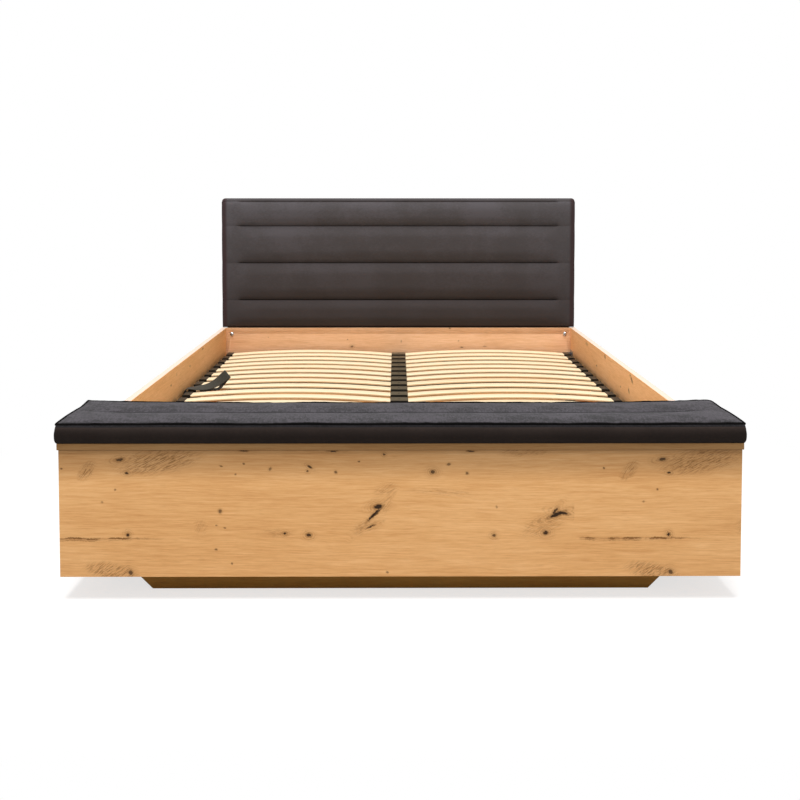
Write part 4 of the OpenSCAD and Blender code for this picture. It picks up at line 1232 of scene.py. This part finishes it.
# Points on the middle of the webbing, in millimetres from the outer top edge of the tube,
# and the direction across it
STRAP_PATH = [
    (-1.3, 0, -24, 0, -1, 0), (-1.3, 0, -10, 0, -1, 0), (-6, 0, 2, 0, -1, 0),
    (-7, 0, 12, 0, -1, 0), (-2, 0, 21, 0, -1, 0), (8, 0, 25.5, 0, -1, 0),
    (24, 0, 26, 0.1, -1, -0.1), (44, 0, 27, 0.1, -0.94, -0.3), (64, 0, 29, 0.17, -0.9, -0.38),
    (82, 0, 33, 0.28, -0.83, -0.47), (99, 0, 40, 0.36, -0.76, -0.54),
    (116, 0, 50, 0.45, -0.61, -0.65), (133, 0, 63, 0.54, -0.46, -0.7),
    (149, 0, 77, 0.64, -0.38, -0.66), (152.5, 2.5, 79.5, 0.64, -0.38, -0.66),
    (153, 6, 78.5, 0.64, -0.38, -0.66), (150, 9, 74.5, 0.64, -0.4, -0.66),
    (140, 9, 61, 0.55, -0.55, -0.63), (131.5, 8, 43.5, 0.4, -0.78, -0.48),
    (125, 6, 29, 0.15, -0.95, -0.25), (113, 5, 22, 0, -1, -0.05), (100, 5, 21, 0, -1, 0),
    (86, 4, 21.5, 0.05, -0.97, -0.12), (66, 2, 23, 0.12, -0.92, -0.3),
    (50, 1, 22.6, 0.08, -0.95, -0.25),
]


def webbing(name, colour, shadow):
    """Ribbed webbing: ribs across the strap from its UV map, and a fine twill."""
    finish = Finish(name)
    uv = finish.place("UV")
    ribs = finish.wave(finish.stretch(uv, (0, 1, 1)), 210, 0.6, 2, "Y")
    diagonal = (0, 0, math.radians(45))
    twill = finish.wave(finish.stretch(uv, (1, 1, 1), diagonal), 160, 0.3, 1, "X")
    yarn = finish.noise(uv, 900, 3, 0.6)
    tone = finish.mix((ribs * 0.5 + yarn * 0.5).fade(0.3, 0.7), shadow, colour)
    normal = finish.bump(ribs + twill * 0.4, 0.0003, 0.6)
    return finish.shade(tone, 0.85, normal, specular=0.3, sheen=0.15)


class BED_OT_pull_strap(bpy.types.Operator):
    """Pull strap of the slatted base, doubled over into a loop"""

    bl_idname = "bed.pull_strap"
    bl_label = "Pull strap"

    def smooth_path(self, origin):
        """The path's points with three more between each pair, on a smooth curve."""
        places = [Vector(row[:3]) / 1000 + origin for row in STRAP_PATH]
        across = [Vector(row[3:]).normalized() for row in STRAP_PATH]
        last = len(places) - 1
        result = []
        for k in range(last):
            points = places[max(k - 1, 0)], places[k], places[k + 1], places[min(k + 2, last)]
            for t in (0.0, 0.25, 0.5, 0.75):
                lean = across[k].lerp(across[k + 1], t).normalized()
                result.append((self.catmull(*points, t), lean))
        result.append((places[-1], across[-1]))
        return result

    def catmull(self, p0, p1, p2, p3, t):
        return 0.5 * ((2 * p1) + (p2 - p0) * t + (2 * p0 - 5 * p1 + 4 * p2 - p3) * t * t
                      + (3 * p1 - p0 - 3 * p2 + p3) * t * t * t)

    def ribbon(self, path):
        """A flat ribbon along the path, its UV map in metres."""
        edges = STRAP_COLUMNS + 1
        last = len(path) - 1
        vertices, faces, lengths = [], [], [0.0]
        for index, (point, across) in enumerate(path):
            along = path[min(index + 1, last)][0] - path[max(index - 1, 0)][0]
            along.normalize()
            up = along.cross(across).normalized()
            flat = up.cross(along).normalized()
            for k in range(edges):
                vertices.append(point + flat * STRAP_WIDTH * (k / STRAP_COLUMNS - 0.5))
        for row in range(last):
            lengths.append(lengths[-1] + (path[row + 1][0] - path[row][0]).length)
            for k in range(row * edges, row * edges + STRAP_COLUMNS):
                faces.append((k, k + 1, k + edges + 1, k + edges))
        mesh = bpy.data.meshes.new("webbing_strap")
        mesh.from_pydata(vertices, [], faces)
        layer = mesh.uv_layers.new(name="strap")
        for loop in mesh.loops:
            row, column = divmod(loop.vertex_index, edges)
            layer.data[loop.index].uv = (column / STRAP_COLUMNS * STRAP_WIDTH, lengths[row])
        return mesh

    def execute(self, context):
        colours = context.scene.bed_fittings
        strap_low, tube_low, tube_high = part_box("pull_strap")[0], *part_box("base_tube_left")
        origin = Vector((tube_low.x, strap_low.y + STRAP_WIDTH / 2, tube_high.z))
        strap = add_object("webbing_strap", self.ribbon(self.smooth_path(origin)))
        finish_with(strap, "SOLIDIFY", thickness=STRAP_THICK, offset=0.0)
        ease_edges(strap, 0.0007, 2, 50)
        smooth(strap, 40)
        paint(strap, webbing("strap_webbing", colours.webbing, colours.webbing_dark))
        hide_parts("pull_strap")
        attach(strap, "slatted_base")
        return {"FINISHED"}


# ------------------------------------------------------------------ stage

# The view of the photograph
VIEW_FROM = (-0.0115, -3.6186, 0.9834)
VIEW_DOWN = 2.668
VIEW_ASIDE = -0.227
VIEW_LENS = 45.60
VIEW_RISE = -0.1939
# Half the length and width that the bed covers, and how far its shadow reaches past them
BED_HALF = (0.83, 1.2)
SHADOW_REACH = 0.7
WHITE = (1.0, 1.0, 1.0)


class BED_OT_stage(bpy.types.Operator):
    """Pale floor, soft studio light and the camera"""

    bl_idname = "bed.stage"
    bl_label = "Stage"

    def floor(self, settings):
        """White to the camera, with the bed's own shadow near it; a mid grey to other rays."""
        bpy.ops.object.select_all(action="DESELECT")
        bpy.ops.mesh.primitive_plane_add(size=60, location=(0, 0, 0))
        plane = bpy.context.active_object
        plane.name = "studio_floor"
        finish = Finish("studio_floor")
        x, y, _ = finish.split(finish.place())
        beside, beyond = (
            finish.larger(abs(place) - reach, 0.0) for place, reach in zip((x, y), BED_HALF)
        )
        far = finish.distance(beside, beyond, 0.0).fade(0.0, SHADOW_REACH, 0.70, 1.0)
        seen = finish.add("LightPath", {}).outputs["Is Camera Ray"]
        grey = (settings.bounce,) * 3
        finish.shade(finish.mix(seen, grey, settings.floor), 0.9, specular=0.0)
        glow = finish.add("Emission", {"Color": WHITE, "Strength": 1.0}).outputs[0]
        shaders = {0: far * seen, 1: finish.shader.outputs[0], 2: glow}
        finish.put(finish.surface, finish.add("MixShader", shaders).outputs[0])
        paint(plane, finish.material)

    def key(self, settings):
        """A wide, far light from high above, a little in front and slightly to the left."""
        light = bpy.data.lights.new("key", "SUN")
        light.energy = settings.key
        light.angle = settings.key_soft
        lamp = add_object("key", light)
        flat = math.cos(settings.key_rise)
        lamp.location = 6 * Vector((
            -flat * math.sin(settings.key_aside), -flat * math.cos(settings.key_aside),
            math.sin(settings.key_rise),
        ))
        lamp.rotation_euler = (-lamp.location).to_track_quat("-Z", "Y").to_euler()

    def world(self, settings):
        """An even light; white to the camera and in reflections."""
        world = bpy.data.worlds.new("studio")
        bpy.context.scene.world = world
        world.use_nodes = True
        world.node_tree.nodes.clear()
        sky = Nodes(world.node_tree)
        rays = sky.add("LightPath", {}).outputs
        seen = sky.larger(rays["Is Camera Ray"], rays["Is Glossy Ray"])
        strength = seen.fade(0.0, 1.0, settings.sky, 1.0, "LINEAR")
        background = sky.add("Background", {"Color": WHITE, "Strength": strength})
        sky.add("OutputWorld", {"Surface": background.outputs[0]})

    def camera(self):
        data = bpy.data.cameras.new("camera")
        data.sensor_width = 36
        data.lens = VIEW_LENS
        data.shift_y = VIEW_RISE
        data.clip_end = 100
        camera = add_object("camera", data)
        camera.location = VIEW_FROM
        camera.rotation_euler = (math.radians(90 - VIEW_DOWN), 0, math.radians(VIEW_ASIDE))
        bpy.context.scene.camera = camera

    def execute(self, context):
        settings = context.scene.bed_stage
        self.camera()
        self.floor(settings)
        self.world(settings)
        self.key(settings)
        context.scene.view_settings.view_transform = "Standard"
        return {"FINISHED"}


# ------------------------------------------------------------------ add-on

STEPS = (
    BED_OT_stage,
    BED_OT_oak_boards,
    BED_OT_slats,
    BED_OT_fittings,
    BED_OT_headboard,
    BED_OT_lid_cushion,
    BED_OT_pull_strap,
)


class BED_PT_panel(bpy.types.Panel):
    """Lists the steps that dress the bed"""

    bl_idname = "BED_PT_panel"
    bl_label = "Blanket chest bed"
    bl_space_type = "VIEW_3D"
    bl_region_type = "UI"
    bl_category = "Bed"

    def draw(self, context):
        for step in STEPS:
            self.layout.operator(step.bl_idname)


SETTINGS = {
    "bed_wood": BedWoodSettings,
    "bed_headboard": BedHeadboardSettings,
    "bed_cushion": BedCushionSettings,
    "bed_fittings": BedFittingSettings,
    "bed_stage": BedStageSettings,
}


def register():
    for name, group in SETTINGS.items():
        bpy.utils.register_class(group)
        setattr(bpy.types.Scene, name, PointerProperty(type=group))
    for step in STEPS:
        bpy.utils.register_class(step)
    bpy.utils.register_class(BED_PT_panel)


def unregister():
    bpy.utils.unregister_class(BED_PT_panel)
    for step in reversed(STEPS):
        bpy.utils.unregister_class(step)
    for name, group in SETTINGS.items():
        delattr(bpy.types.Scene, name)
        bpy.utils.unregister_class(group)


def main():
    register()
    for step in STEPS:
        group, name = step.bl_idname.split(".")
        getattr(getattr(bpy.ops, group), name)()


if __name__ == "__main__":
    main()
